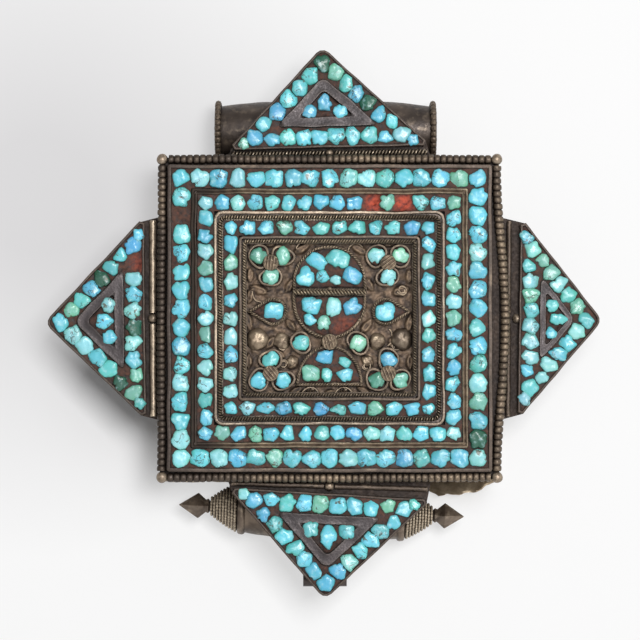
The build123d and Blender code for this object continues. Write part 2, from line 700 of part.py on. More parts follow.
rings = [bead_ring(TUBE_X + side * ring_x, TUBE_Y, TUBE_Z, ring_radius) for side in (-1, 1)]
parts["tube_rings"] = Compound(rings)

# Spindle bar below, a little askew: smooth swelling, plain ring, ribbed shoulders, faceted finials
profile = [(0.0, SPINDLE_RADIUS)]
profile.append((SPINDLE_SHOULDER * 0.5, SPINDLE_RADIUS * 0.975))
profile.append((SPINDLE_SHOULDER * 0.8, SPINDLE_RADIUS * 0.9))
profile.append((SPINDLE_SHOULDER - 0.8, SPINDLE_RADIUS * 0.83))
profile.append((SPINDLE_SHOULDER - 0.5, SPINDLE_RADIUS * 0.88))
profile.append((SPINDLE_SHOULDER + 0.5, SPINDLE_RADIUS * 0.86))
rib_start = SPINDLE_SHOULDER + 0.8
rib_step = (SPINDLE_HALF - rib_start) / SPINDLE_RIBS
for k in range(SPINDLE_RIBS):
    share = k / (SPINDLE_RIBS - 1)
    crest = SPINDLE_RADIUS * 0.78 * (1 - share) + SPINDLE_END * share
    crest += 0.5 * share * (1 - share) * SPINDLE_RADIUS * 0.5
    profile.append((rib_start + rib_step * k, crest - 0.4))
    profile.append((rib_start + rib_step * (k + 0.5), crest))
profile.append((SPINDLE_HALF, SPINDLE_END * 0.8))
stations = [(-x, radius) for x, radius in reversed(profile[1:])] + profile
spindle_place = Pos(SPINDLE_X, SPINDLE_Y) * Rot(0, 0, SPINDLE_TILT)
spindle = spindle_place * Part(turned_along_x(0, SPINDLE_Z, SPINDLE_SIDES, stations).wrapped)
pad_depth = -SPINDLE_Y - CASE_Y
pad = Box(SPINDLE_SHOULDER, pad_depth, SPINDLE_RADIUS * 0.6)
spindle += Pos(SPINDLE_X, SPINDLE_Y + pad_depth / 2, SPINDLE_Z) * pad
parts["spindle_bar"] = spindle.solid()
finials = []
for end in (-1, 1):
    stations = [
        (end * SPINDLE_HALF, FINIAL_NECK / 2),
        (end * (SPINDLE_HALF + FINIAL_LENGTH * 0.08), FINIAL_NECK / 2),
        (end * (SPINDLE_HALF + FINIAL_LENGTH * 0.38), FINIAL_WIDTH / 2),
        (end * (SPINDLE_HALF + FINIAL_LENGTH), 0.15),
    ]
    finials.append(spindle_place * turned_along_x(0, SPINDLE_Z, 4, stations, 0.0))
parts["spindle_finials"] = Compound(finials)

# Short tassel tube soldered under the tip of the bottom wing
tassel_x = -BOTTOM_LEAN
tassel_y = -(CASE_Y + BOTTOM_REACH - TASSEL_INSET)
tassel_z = WING_Z - TASSEL_RADIUS
tassel_axis = Plane((tassel_x - TASSEL_LENGTH / 2, tassel_y, tassel_z), x_dir=(0, 1, 0), z_dir=(1, 0, 0))
tassel = extrude(tassel_axis * Circle(TASSEL_RADIUS), amount=TASSEL_LENGTH)
tassel_foot = Box(TASSEL_INSET, TASSEL_RADIUS, TASSEL_RADIUS)
tassel += Pos(tassel_x, tassel_y, WING_Z - TASSEL_RADIUS / 2) * tassel_foot
tassel -= extrude(tassel_axis * Circle(TASSEL_BORE), amount=TASSEL_LENGTH)
parts["tassel_tube"] = tassel

os.makedirs("parts", exist_ok=True)
for name, shape in parts.items():
    export_step(shape, "parts/" + name + ".step")
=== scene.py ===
import random
from cmath import phase, rect
from math import cos, exp, pi, radians, sin

import bmesh
import bpy
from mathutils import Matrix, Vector, noise


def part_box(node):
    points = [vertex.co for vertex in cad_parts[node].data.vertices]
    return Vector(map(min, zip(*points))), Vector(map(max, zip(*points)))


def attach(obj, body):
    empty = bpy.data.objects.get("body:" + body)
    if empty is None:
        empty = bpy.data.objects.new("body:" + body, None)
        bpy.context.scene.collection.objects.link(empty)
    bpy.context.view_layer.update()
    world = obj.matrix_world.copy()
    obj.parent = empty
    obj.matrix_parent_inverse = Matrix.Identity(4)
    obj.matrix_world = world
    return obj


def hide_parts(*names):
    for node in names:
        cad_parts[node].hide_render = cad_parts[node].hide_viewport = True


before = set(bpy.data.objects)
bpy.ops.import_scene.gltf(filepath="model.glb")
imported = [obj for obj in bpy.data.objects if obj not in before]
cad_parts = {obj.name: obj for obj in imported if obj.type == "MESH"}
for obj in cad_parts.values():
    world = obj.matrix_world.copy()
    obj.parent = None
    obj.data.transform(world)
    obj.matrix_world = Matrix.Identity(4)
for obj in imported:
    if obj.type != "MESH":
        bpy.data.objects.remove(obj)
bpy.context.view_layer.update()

MM = 0.001
UP = Vector((0, 0, 1))
EAST = Vector((1, 0, 0))
NORTH = Vector((0, 1, 0))
SIDES = ("top", "left", "bottom", "right")

# Seeds; without one of its own, noise_vector differs from run to run
noise.seed_set(5)
BORDER_SEED = 3
STUD_SEED = 8
COLLET_SEED = 9
RING_SEED = 12
SPINDLE_SEED = 14
ROW_SEED = 41
PANEL_SEED = 51
WING_SEED = 61

# Sides and cells that forms are divided into
STONE_SIDES = 36
TUBE_SIDES = 56
GROUND_CELLS = 130

# Wire, sheet and lac: lengths in millimetres, BEAD_NECK and LAC_ROOM as shares
WALL_EDGE = 0.14
COLLET_WALL = 0.5
RIM_WALL = 0.8
WING_FOOT = 30.0
WING_RIM = 0.5
WING_ROW = 4.3
WING_FRAME = 2.0
RIGHT_FRAME = 1.15
STRIP_WIDTH = 1.2
LIP = 0.6
BEAD_RADIUS = 0.95
TUBE_RING = 1.3
TUBE_SHEET = 0.7
BEAD_PITCH = 1.27
BEAD_NECK = 0.7
LAC_FILL = 0.62
LAC_LUMPS = 0.28
LAC_ROOM = 0.9
HAND = 0.07
SPRUNG = 1.7
CURL_WIRE = 0.2
FLANGE_SPOT = complex(25.5, -33.0)
FLANGE_BENT = 2.3

# Spindle: where its parts end along half its length, and their radii
SPINDLE_RADIUS = 6.15
SPINDLE_SHOULDER = 16.5
SPINDLE_WIRES = 9
SPINDLE_END = 1.5
FINIAL_LENGTH = 6.3
FINIAL_WIDTH = 5.3

# Stones: how much wider they are than their solids. In a wing's border, one under SMALL_STONE
# is enlarged by SMALL_SPREAD and moved a little to the middle of the face
ROW_SWELL = 1.2
WING_SWELL = 1.3
PANEL_SWELL = 1.4
DROP_SWELL = 1.12
SMALL_STONE = 1.9
SMALL_SPREAD = 1.6
SMALL_SHIFT = 0.605
SPECIAL_REACH = 1.4
SPECIAL_VEINS = 0.4
VEINED = 0.6
INNER_SPREAD = {"top": 1.25, "left": 1.3, "bottom": 1.3, "right": 2.2}
STONE_PROFILE = (
    (0.94, 0.0), (1.0, 0.3), (1.0, 0.6), (0.95, 0.82),
    (0.84, 0.93), (0.64, 0.98), (0.4, 1.0), (0.16, 1.0),
)

# Camera, floor and light: the photograph is 640 points across, five to a millimetre at the face
VIEW_WIDTH = 128.0
VIEW_DISTANCE = 600.0
VIEW_TILT = radians(1.5)
BRIGHT_SIDE = Vector((0.75, -0.6, 0.28))
VIEW_MIDDLE = Vector((-1.9, -0.4, 21.0))
SENSOR = 36.0
# Middle of a grey shadow painted on the floor, up and to the left of the case
PAINTED_FLOOR_SHADOW = Vector((-60, 26, 0)) * MM
# The floor's glow for camera rays is painted light: it lifts the object's shadow by up to SHADOW_LIFT
# everywhere but near WING_SHADOW, where the shadow under the left wing stays
WING_SHADOW = Vector((-43, -17, 0)) * MM
SHADOW_LIFT = 0.6
FLOOR_SIZE = 6.0
FLOOR_GLOW = 0.97
SKY_FILL = 0.32
SKY_WHITE = 0.95
LAMP_POWER = 4.0
LAMP_SIZE = 0.24
LAMP_PLACE = Vector((0.13, 0.11, 0.72))


def colour(red, green, blue):
    """Linear colour from the usual 0 to 255 values."""
    shares = [value / 255 for value in (red, green, blue)]
    return [s / 12.92 if s < 0.04045 else ((s + 0.055) / 1.055) ** 2.4 for s in shares] + [1.0]


SKY = colour(116, 212, 236)
LIGHT = colour(154, 226, 234)
DEEP = colour(100, 188, 228)
TEAL = colour(112, 207, 211)
GREEN = colour(130, 200, 182)
DARK = colour(46, 100, 82)
FERN = colour(98, 164, 146)
PALE_GREEN = colour(158, 222, 196)
TINTS = (SKY, LIGHT, DEEP, TEAL, GREEN, DARK)

# How often the stones of a place have each of these tints
ROW_WEIGHTS = (10, 4, 2, 3, 1.3, 0.15)
WING_WEIGHTS = {
    "top": (7, 2, 3, 4, 2.4, 0.9), "left": (5, 2, 3, 5, 2.6, 1.2),
    "bottom": (9, 3, 2.5, 3, 1.8, 0.6), "right": (5, 10, 0.5, 3, 1.8, 0.0),
}
PANEL_STONES = (
    ("dome", "dome_stones", (8, 2, 4, 2, 0, 0)),
    ("bowl", "bowl_stones", (8, 3, 1, 3, 2, 0)),
    ("mound", "mound_stones", (6, 1, 3, 3, 3, 0)),
    ("drop", "drop_stones", (8, 2, 0, 0, 0, 0)),
    ("collet", "round_collet_stones", (4, 2, 2, 2, 5, 0.5)),
)

# Places where the lac lies bare, and stones with a tint of their own or, with none, lost
BARE_TOP = [(complex(9.2, 22.9), 1.0), (complex(14.8, 22.9), 1.0)]
BARE_WING = complex(-38.0, 11.2)
BARE_BOWL = complex(3.2, -1.6)
ROW_SPECIAL = [(complex(12.0, 23.1), GREEN), (complex(-24.0, 28.0), GREEN), (complex(-20.0, 28.0), GREEN)]
WING_SPECIAL = ((BARE_WING, None), (complex(-1.4, 51.0), DARK), (complex(1.2, 49.0), GREEN))
PANEL_TINTS = [(complex(x, y), tint) for x, y, tint in (
    (-14.2, 12.5, FERN), (-9.3, 12.4, GREEN), (-11.8, 8.2, GREEN),
    (9.3, 12.4, LIGHT), (14.1, 12.4, PALE_GREEN), (11.7, 8.2, LIGHT),
    (-11.8, -8.2, TEAL), (-14.3, -12.5, SKY), (-9.3, -12.5, SKY),
    (11.7, -8.2, DEEP), (9.3, -12.5, FERN), (14.3, -12.5, GREEN),
    (-5.8, -5.0, TEAL), (5.7, -5.0, PALE_GREEN),
    (1.6, 11.9, TEAL), (-2.6, 11.2, SKY), (4.6, 8.5, DEEP), (-4.9, 8.3, SKY),
    (-3.5, 3.0, SKY), (0.9, 2.1, LIGHT), (4.6, 2.6, DEEP), (-3.8, -0.3, SKY),
    (-11.1, 1.4, SKY), (11.2, 1.3, SKY),
    (-1.1, -1.0, GREEN), (-0.9, -7.7, DEEP), (-3.8, -11.0, GREEN),
    (-0.5, -11.4, TEAL), (3.0, -11.1, SKY), (3.0, -8.8, TEAL),
)]

# Leaves embossed on the panel: middle, direction in degrees, half length, half width
LEAVES = (
    (-14.2, 5.7, 160, 2.0, 1.0), (-16.0, 4.4, 80, 1.6, 0.9), (-16.2, -0.6, 100, 2.0, 0.9),
    (7.9, 6.8, 120, 1.8, 0.9), (14.3, 5.5, 20, 1.9, 1.2), (7.4, -1.6, 50, 2.0, 0.9),
    (16.0, -1.0, 80, 2.0, 0.8), (-11.8, -4.9, 60, 1.5, 0.9), (-10.0, -7.2, 150, 1.4, 0.8),
    (-7.4, -9.0, 40, 1.5, 1.2), (7.6, -8.6, 140, 1.5, 1.0), (12.6, -5.2, 110, 1.5, 0.8),
    (-7.9, 6.6, 60, 1.8, 0.8), (-5.6, 13.9, 30, 2.0, 0.9), (6.0, 13.8, 150, 2.0, 0.9),
    (-7.8, -1.4, 130, 1.8, 0.8), (-12.0, 14.9, 0, 1.4, 0.6), (11.8, 14.9, 0, 1.4, 0.6),
    (-6.8, -14.6, 30, 1.7, 0.8), (6.9, -14.6, 150, 1.7, 0.8), (0.2, -14.9, 0, 1.2, 0.7),
    (-15.9, 8.6, 90, 1.6, 0.8), (16.0, 8.4, 90, 1.6, 0.8), (-16.2, -8.6, 90, 1.7, 0.8),
    (16.1, -8.8, 90, 1.7, 0.8),
)


class Shader:
    """Node tree of one material or of the world, built up node by node."""

    def __init__(self, name=None, tree=None):
        self.material = None
        if not tree:
            self.material = bpy.data.materials.new(name)
            self.material.use_nodes = True
        self.tree = tree or self.material.node_tree
        self.tree.nodes.clear()
        self.place = self.add("TexCoord", {}).outputs["Generated" if tree else "Object"]

    def add(self, kind, inputs, **settings):
        node = self.tree.nodes.new("ShaderNode" + kind)
        for key, value in settings.items():
            setattr(node, key, value)
        for key, value in inputs.items():
            if isinstance(value, bpy.types.NodeSocket):
                self.tree.links.new(value, node.inputs[key])
            else:
                node.inputs[key].default_value = value
        return node

    def noise(self, size, detail=3.0, warp=0.0):
        """Noise whose features are about a size in millimetres."""
        inputs = {"Vector": self.place, "Scale": 1 / (size * MM), "Detail": detail, "Distortion": warp}
        return self.add("TexNoise", inputs).outputs["Fac"]

    def spread(self, value, low, high, start=0.0, end=1.0):
        inputs = {"Value": value, "From Min": low, "From Max": high, "To Min": start, "To Max": end}
        return self.add("MapRange", inputs).outputs["Result"]

    def math(self, operation, first, second):
        return self.add("Math", {0: first, 1: second}, operation=operation).outputs[0]

    def mix(self, factor, first, second, blend="MIX"):
        node = self.add("Mix", {0: factor, 6: first, 7: second}, data_type="RGBA", blend_type=blend)
        return node.outputs[2]

    def crevice(self, distance):
        """1 in the open, falling to 0 in corners narrower than a distance in millimetres."""
        return self.add("AmbientOcclusion", {"Distance": distance * MM}, samples=6).outputs["AO"]

    def surface(self, height, strength, depth, **values):
        bump = self.add("Bump", {"Height": height, "Strength": strength, "Distance": depth * MM})
        inputs = {key.replace("_", " "): value for key, value in values.items()}
        inputs["Normal"] = bump.outputs["Normal"]
        shader = self.add("BsdfPrincipled", inputs)
        output = self.add("OutputMaterial", {})
        self.tree.links.new(shader.outputs["BSDF"], output.inputs["Surface"])
        return self.material


def silver_material(name, dark, plain, worn, roughness, patch, edges=True):
    """Old silver: oxide in patches, grime and painted shade in corners, soot and painted shade by the tint,
    paler where it is rubbed.
    """
    shader = Shader(name)
    grain = shader.noise(0.5, 4.0)
    patches = shader.noise(patch, 5.0, 0.4)
    base = shader.mix(shader.spread(patches, 0.36, 0.64), colour(*dark), colour(*plain))
    rubbed = shader.spread(shader.noise(1.4, 4.0), 0.54, 0.72, 0.0, 0.6)
    if edges:
        point = shader.add("NewGeometry", {}).outputs["Pointiness"]
        rubbed = shader.math("MULTIPLY", shader.spread(point, 0.5, 0.6), shader.spread(grain, 0.25, 0.6))
    base = shader.mix(rubbed, base, colour(*worn))
    # The tint on the points darkens the silver: soot in patches, and painted shade on sides turned away from
    # the light
    soot_and_shade = shader.add("Attribute", {}, attribute_name="tint").outputs["Color"]
    base = shader.mix(soot_and_shade, base, colour(50, 41, 36))
    # Painted shade with some grime: the silver darkens towards a near-black brown in corners and narrow gaps
    crevice_unshaded = shader.spread(shader.crevice(1.1), 0.25, 0.9)
    base = shader.mix(crevice_unshaded, colour(30, 22, 18), base)
    rough = shader.spread(grain, 0.3, 0.7, roughness - 0.1, roughness + 0.12)
    return shader.surface(grain, 0.35, 0.14, Base_Color=base, Metallic=0.55, Roughness=rough)


def turquoise_material():
    """Polished stone in the tint kept on its points, greener in patches, pale and veined in others."""
    shader = Shader("turquoise_stone")
    tint = shader.add("Attribute", {}, attribute_name="tint")
    cloud = shader.noise(1.5, 4.0)
    greener = shader.spread(shader.noise(2.2, 3.0), 0.52, 0.7, 0.0, 0.7)
    base = shader.mix(greener, tint.outputs["Color"], (0.84, 0.94, 0.78, 1), "MULTIPLY")
    base = shader.mix(shader.spread(cloud, 0.44, 0.7, 0.0, 0.6), base, (0.7, 0.84, 0.88, 1), "MULTIPLY")
    pale = shader.spread(shader.noise(1.0, 4.0), 0.54, 0.72, 0.0, 0.5)
    base = shader.mix(pale, base, colour(190, 234, 238))
    matrix = shader.spread(shader.noise(1.2, 6.0, 0.5), 0.64, 0.68, 0.0, 0.85)
    base = shader.mix(shader.math("MULTIPLY", matrix, tint.outputs["Alpha"]), base, colour(92, 82, 58))
    ridge = shader.noise(2.0, 6.0, 1.0)
    ridge = shader.math("ABSOLUTE", shader.math("SUBTRACT", ridge, 0.5), 0.0)
    line = shader.spread(ridge, 0.004, 0.026, 1.0, 0.0)
    where = shader.spread(shader.noise(2.6, 2.0), 0.48, 0.6)
    vein = shader.math("MULTIPLY", line, where)
    vein = shader.math("MULTIPLY", vein, tint.outputs["Alpha"])
    base = shader.mix(vein, base, colour(58, 60, 50))
    # Painted shade with some grime: the stone darkens towards olive grey in narrow gaps, where it meets the
    # lac
    crevice_unshaded = shader.spread(shader.crevice(0.5), 0.2, 0.66)
    base = shader.mix(crevice_unshaded, colour(58, 62, 52), base)
    rough = shader.spread(cloud, 0.3, 0.7, 0.18, 0.4)
    return shader.surface(cloud, 0.2, 0.14, Base_Color=base, Roughness=rough)


def lac_material():
    """Dusty brown lac, red where the tint on its points says that a stone has gone."""
    shader = Shader("lac")
    bare = shader.add("Attribute", {}, attribute_name="tint").outputs["Color"]
    lumps = shader.noise(0.9, 5.0)
    base = shader.mix(shader.spread(lumps, 0.35, 0.65), colour(36, 24, 21), colour(98, 67, 55))
    flecks = shader.spread(shader.noise(0.7, 3.0), 0.6, 0.72, 0.0, 0.5)
    base = shader.mix(flecks, base, colour(132, 82, 67))
    red = shader.mix(shader.spread(lumps, 0.35, 0.62), colour(110, 38, 30), colour(206, 92, 68))
    base = shader.mix(bare, base, red)
    # Painted shade with some grime: the lac darkens towards a near-black brown in corners and narrow gaps
    crevice_unshaded = shader.spread(shader.crevice(1.3), 0.2, 0.9)
    base = shader.mix(crevice_unshaded, colour(34, 22, 18), base)
    rough = shader.spread(lumps, 0.3, 0.7, 0.45, 0.75)
    return shader.surface(lumps, 0.5, 0.25, Base_Color=base, Roughness=rough, Specular_IOR_Level=0.25)


# Dark, plain and worn colour, roughness, size of the oxide patches, worn edges or not
SILVER = silver_material("old_silver", (54, 43, 36), (98, 82, 69), (156, 138, 115), 0.46, 2.6)
# BRIGHT is a paler silver: worn where it is rubbed, and on the spindle wires also painted light for the
# shade they lie in
BRIGHT = silver_material("rubbed_silver_and_painted_light", (80, 66, 55), (132, 114, 97), (204, 188, 164), 0.4, 1.8)
GROUND = silver_material("panel_silver", (42, 32, 26), (108, 88, 70), (172, 148, 120), 0.55, 1.6)
DARK_SILVER = silver_material("dark_silver", (42, 34, 30), (72, 60, 53), (120, 105, 90), 0.5, 2.4)
FRAME = silver_material("frame_silver", (36, 31, 32), (58, 52, 53), (92, 83, 79), 0.4, 4.0)
SMOOTH = silver_material("smooth_silver", (52, 46, 44), (88, 78, 74), (122, 111, 102), 0.34, 4.0, False)
BEATEN = silver_material("beaten_silver", (52, 44, 40), (86, 75, 67), (126, 112, 97), 0.42, 5.0, False)
PALE = silver_material("pale_silver", (108, 92, 76), (156, 138, 116), (204, 186, 158), 0.42, 3.0, False)
ROPE = silver_material("wire_silver", (76, 63, 52), (128, 110, 91), (184, 166, 140), 0.46, 1.8)
SOOTY = silver_material("sooty_silver", (32, 23, 19), (52, 40, 33), (76, 62, 51), 0.6, 3.0, False)
# Partly painted light: the back plate's silver is very pale, so that its crumpled flange, in the shade of
# the case, still looks lit
BACK_SILVER_WITH_PAINTED_LIGHT = silver_material("back_silver", (158, 139, 114), (210, 192, 164), (230, 214, 188), 0.42, 3.0, False)
# Partly painted light: the spindle's silver is lighter than the case's so that the spindle and finials, in
# the shade of the case, still look lit
SPINDLE = silver_material("spindle_silver", (78, 66, 56), (124, 109, 94), (166, 150, 130), 0.4, 3.0, False)
TURQUOISE = turquoise_material()
LAC = lac_material()


def linked(name, data):
    """New object in the scene."""
    made = bpy.data.objects.new(name, data)
    bpy.context.scene.collection.objects.link(made)
    return made


def bevelled(made, width, segments):
    """Edges of an object rounded over a width in millimetres."""
    bevel = made.modifiers.new("edges", "BEVEL")
    bevel.width = width * MM
    bevel.segments = segments


class Form:
    """Mesh under construction, in millimetres, with a tint kept on each point."""

    def __init__(self):
        self.points = []
        self.faces = []
        self.tints = []

    def add(self, points, faces, tints=None):
        start = len(self.points)
        self.points += points
        self.faces += [[start + index for index in face] for face in faces]
        self.tints += tints or [(0.0, 0.0, 0.0, 1.0)] * len(points)

    def piece(self, name, material, nodes, body="front", crease=40):
        mesh = bpy.data.meshes.new(name)
        mesh.from_pydata([point * MM for point in self.points], [], self.faces)
        layer = mesh.color_attributes.new("tint", "FLOAT_COLOR", "POINT")
        layer.data.foreach_set("color", [share for tint in self.tints for share in tint])
        turning = bmesh.new()
        turning.from_mesh(mesh)
        bmesh.ops.recalc_face_normals(turning, faces=turning.faces)
        turning.to_mesh(mesh)
        turning.free()
        mesh.shade_smooth()
        mesh.set_sharp_from_angle(angle=radians(crease))
        mesh.materials.append(material)
        made = linked(name, mesh)
        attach(made, body)
        if nodes:
            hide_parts(*nodes)
        return made


def fade(value, start, width):
    """0 below a start, rising to 1 over a width."""
    return min(1.0, max(0.0, (value - start) / width))


def stain(form, amount):
    """Darkening of silver by a function of each point, soot in some places and painted shade in others, or
    bareness of lac.
    """
    form.tints = [(share, share, share, 1.0) for share in map(amount, form.points)]


def corners_of(node):
    """Lowest and highest corner of a CAD node, in millimetres."""
    low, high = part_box(node)
    return Vector(low) / MM, Vector(high) / MM


def solids_of(node):
    """Points of each separate solid of a CAD node, in millimetres."""
    shape = bmesh.new()
    shape.from_mesh(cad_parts[node].data)
    bmesh.ops.remove_doubles(shape, verts=shape.verts, dist=0.001 * MM)
    seen = set()
    solids = []
    for first in shape.verts:
        if first in seen:
            continue
        seen.add(first)
        group = [first]
        for vertex in group:
            for edge in vertex.link_edges:
                other = edge.other_vert(vertex)
                if other not in seen:
                    seen.add(other)
                    group.append(other)
        solids.append([vertex.co / MM for vertex in group])
    shape.free()
    return solids


def hull(points):
    """Outline of points seen from above, as complex corners going round to the left."""
    spots = sorted({(round(p.x, 3), round(p.y, 3)) for p in points})

    def chain(row):
        line = []
        for x, y in row:
            while len(line) > 1:
                (ax, ay), (bx, by) = line[-2:]
                if (bx - ax) * (y - ay) - (by - ay) * (x - ax) > 1e-4:
                    break
                line.pop()
            line.append((x, y))
        return line[:-1]

    return [complex(x, y) for x, y in chain(spots) + chain(spots[::-1])]


def levels(points):
    """Lowest and highest level of points."""
    heights = [p.z for p in points]
    return min(heights), max(heights)


def outlines_of(node):
    """Outline, lowest and highest level of each separate solid of a CAD node."""
    return [(hull(points), *levels(points)) for points in solids_of(node)]


def lifted(flat, level):
    """Point at a level above a flat spot."""
    return Vector((flat.real, flat.imag, level))


def middle(outline):
    """Mean of the corners of an outline."""
    return sum(outline) / len(outline)


def sides_of(outline):
    """Corners of an outline, each with the direction out of the side that starts there."""
    for k, here in enumerate(outline):
        run = outline[(k + 1) % len(outline)] - here
        yield here, run / abs(run) * -1j


def rectangle(half_x, half_y, radius=0.0):
    """Rectangle round the middle of the face, with rounded corners where a radius is given."""
    outline = []
    for x, y, start in ((1, 1, 0), (-1, 1, 90), (-1, -1, 180), (1, -1, 270)):
        core = complex(x * (half_x - radius), y * (half_y - radius))
        turns = (0, 30, 60, 90) if radius else (0,)
        outline += [core + rect(radius, radians(start + turn)) for turn in turns]
    return outline


def oval(outline, rng):
    """Oval, slightly lopsided loop in place of a round collet's many-sided outline."""
    core = middle(outline)
    size = max(abs(spot - core) for spot in outline)
    long_way = rng.uniform(0, pi)
    lopsided = rng.uniform(0, 2 * pi)
    loop = []
    for k in range(28):
        turn = 2 * pi * k / 28
        swell = 0.1 * cos(2 * (turn - long_way)) + 0.05 * cos(3 * turn + lopsided)
        loop.append(core + rect(size * (1.01 + swell), turn))
    return loop


def walk(outline, step):
    """Spots along a closed outline, each with the mitred direction that leads out of it."""
    normals = [out for _, out in sides_of(outline)]
    corners = []
    for k, leaving in enumerate(normals):
        arriving = normals[k - 1]
        corners.append((arriving + leaving) / (1 + (arriving * leaving.conjugate()).real))
    spots = []
    for k, here in enumerate(outline):
        n = (k + 1) % len(outline)
        runs = max(1, round(abs(outline[n] - here) / step))
        for run in range(runs):
            share = run / runs
            out = corners[k] + (corners[n] - corners[k]) * share
            spots.append((here + (outline[n] - here) * share, out))
    return spots


def bands(rows, columns, around):
    """Quads between rows of points. Each row is a closed loop, and so are the rows if around."""
    faces = []
    for row in range(rows if around else rows - 1):
        after = (row + 1) % rows
        for k in range(columns):
            n = (k + 1) % columns
            faces.append((row * columns + k, row * columns + n, after * columns + n, after * columns + k))
    return faces


def capped(rows, columns):
    """Quads between rows of points, with both ends closed."""
    ends = [tuple(range(columns)), tuple(range((rows - 1) * columns, rows * columns))]
    return bands(rows, columns, False) + ends


def uneven(point, amount, size):
    """A point moved by smooth noise of a size, as hand work is."""
    return point + noise.noise_vector(point / size) * amount


def sweep(form, outline, section, step=1.0, amount=HAND, size=5.0):
    """Closed section of offsets and levels carried round an outline, a little uneven."""
    spots = walk(outline, step)
    points = []
    for spot, out in spots:
        for offset, level in section:
            flat = spot + out * offset
            points.append(uneven(lifted(flat, level), amount, size))
    form.add(points, bands(len(spots), len(section), True))


def wall(inner, outer, bottom, top, edge=WALL_EDGE):
    """Section of a wall with rounded upper edges."""
    loop = [(inner, bottom), (outer, bottom)]
    for core, start in ((outer - edge, 0), (inner + edge, 90)):
        for turn in (0, 30, 60, 90):
            angle = radians(start + turn)
            loop.append((core + edge * cos(angle), top - edge + edge * sin(angle)))
    return loop


def twisted_wire(form, spots, level, radius, turns, closed=True):
    """Two strands laid round each other along spots that each have a direction across."""
    for strand in (0, pi):
        points = []
        for k, (spot, out) in enumerate(spots):
            turn = 2 * pi * turns * k / len(spots) + strand
            for side in range(6):
                angle = pi * side / 3
                flat = spot + out * radius * 0.5 * (cos(turn) + cos(angle))
                height = level + radius * 0.5 * (sin(turn) + sin(angle))
                points.append(uneven(lifted(flat, height), HAND, 5.0))
        form.add(points, bands(len(spots), 6, True) if closed else capped(len(spots), 6))


def laid_rope(form, outline, level, radius, pitch):
    """Twisted wire closed along an outline."""
    spots = walk(outline, pitch / 7)
    twisted_wire(form, spots, level, radius, round(len(spots) / 7))


def bead_rows(count, radius, rng, place, sides, stations=6):
    """Loops of points of a beaded wire: place gives a middle and two directions across it."""
    points = []
    for bead in range(count):
        size = radius * rng.uniform(0.94, 1.06)
        for station in range(stations):
            middle_point, across, up = place((bead + station / stations) / count)
            swell = BEAD_NECK + (1 - BEAD_NECK) * sin(pi * station / stations) ** 0.35
            for side in range(sides):
                angle = 2 * pi * side / sides
                points.append(middle_point + (across * cos(angle) + up * sin(angle)) * size * swell)
    return points


def beaded_run(form, start, end, radius, pitch, bow, rng):
    """Straight beaded wire between two points, bowed sideways in its middle."""
    along = (end - start).normalized()
    across = along.cross(UP)
    count = round((end - start).length / pitch)

    def place(share):
        point = start.lerp(end, share) + across * bow * sin(pi * share) ** 2
        return uneven(point, 0.12, 9.0), across, UP

    points = bead_rows(count, radius, rng, place, 10)
    form.add(points, capped(count * 6, 10))


def beaded_ring(form, centre, ring, radius, pitch, rng, sides=8, stations=6, axis=EAST, side=NORTH):
    """Beaded wire closed round an axis through a centre."""
    count = round(2 * pi * ring / pitch)
    other = axis.cross(side)

    def place(share):
        out = side * cos(2 * pi * share) + other * sin(2 * pi * share)
        return centre + out * ring, out, axis

    points = bead_rows(count, radius, rng, place, sides, stations)
    form.add(points, bands(count * stations, sides, True))


def turned(form, centre, axis, across, stations, sides=32, dents=0.0, size=4.0):
    """Turned body along an axis: stations are distances along it and radii."""
    other = axis.cross(across)
    points = []
    for distance, radius in stations:
        for side in range(sides):
            angle = 2 * pi * side / sides
            point = centre + axis * distance + (across * cos(angle) + other * sin(angle)) * radius
            points.append(uneven(point, dents, size))
    form.add(points, capped(len(stations), sides))


def heap(form, outline, base, level, bulge, lumps):
    """Filling of an outline with a lumpy crowned top."""
    core = middle(outline)
    spots = [spot for spot, out in walk(outline, 0.7)]
    rings = [(1.0, base)]
    for share in (1.0, 0.86, 0.7, 0.52, 0.34, 0.16):
        rings.append((share, level + bulge * (1 - share * share)))
    points = []
    for share, height in rings:
        for spot in spots:
            flat = core + (spot - core) * share
            point = lifted(flat, height)
            if height > base:
                point.z += noise.noise(point * 1.3) * lumps
            points.append(point)
    form.add(points, capped(len(rings), len(spots)))


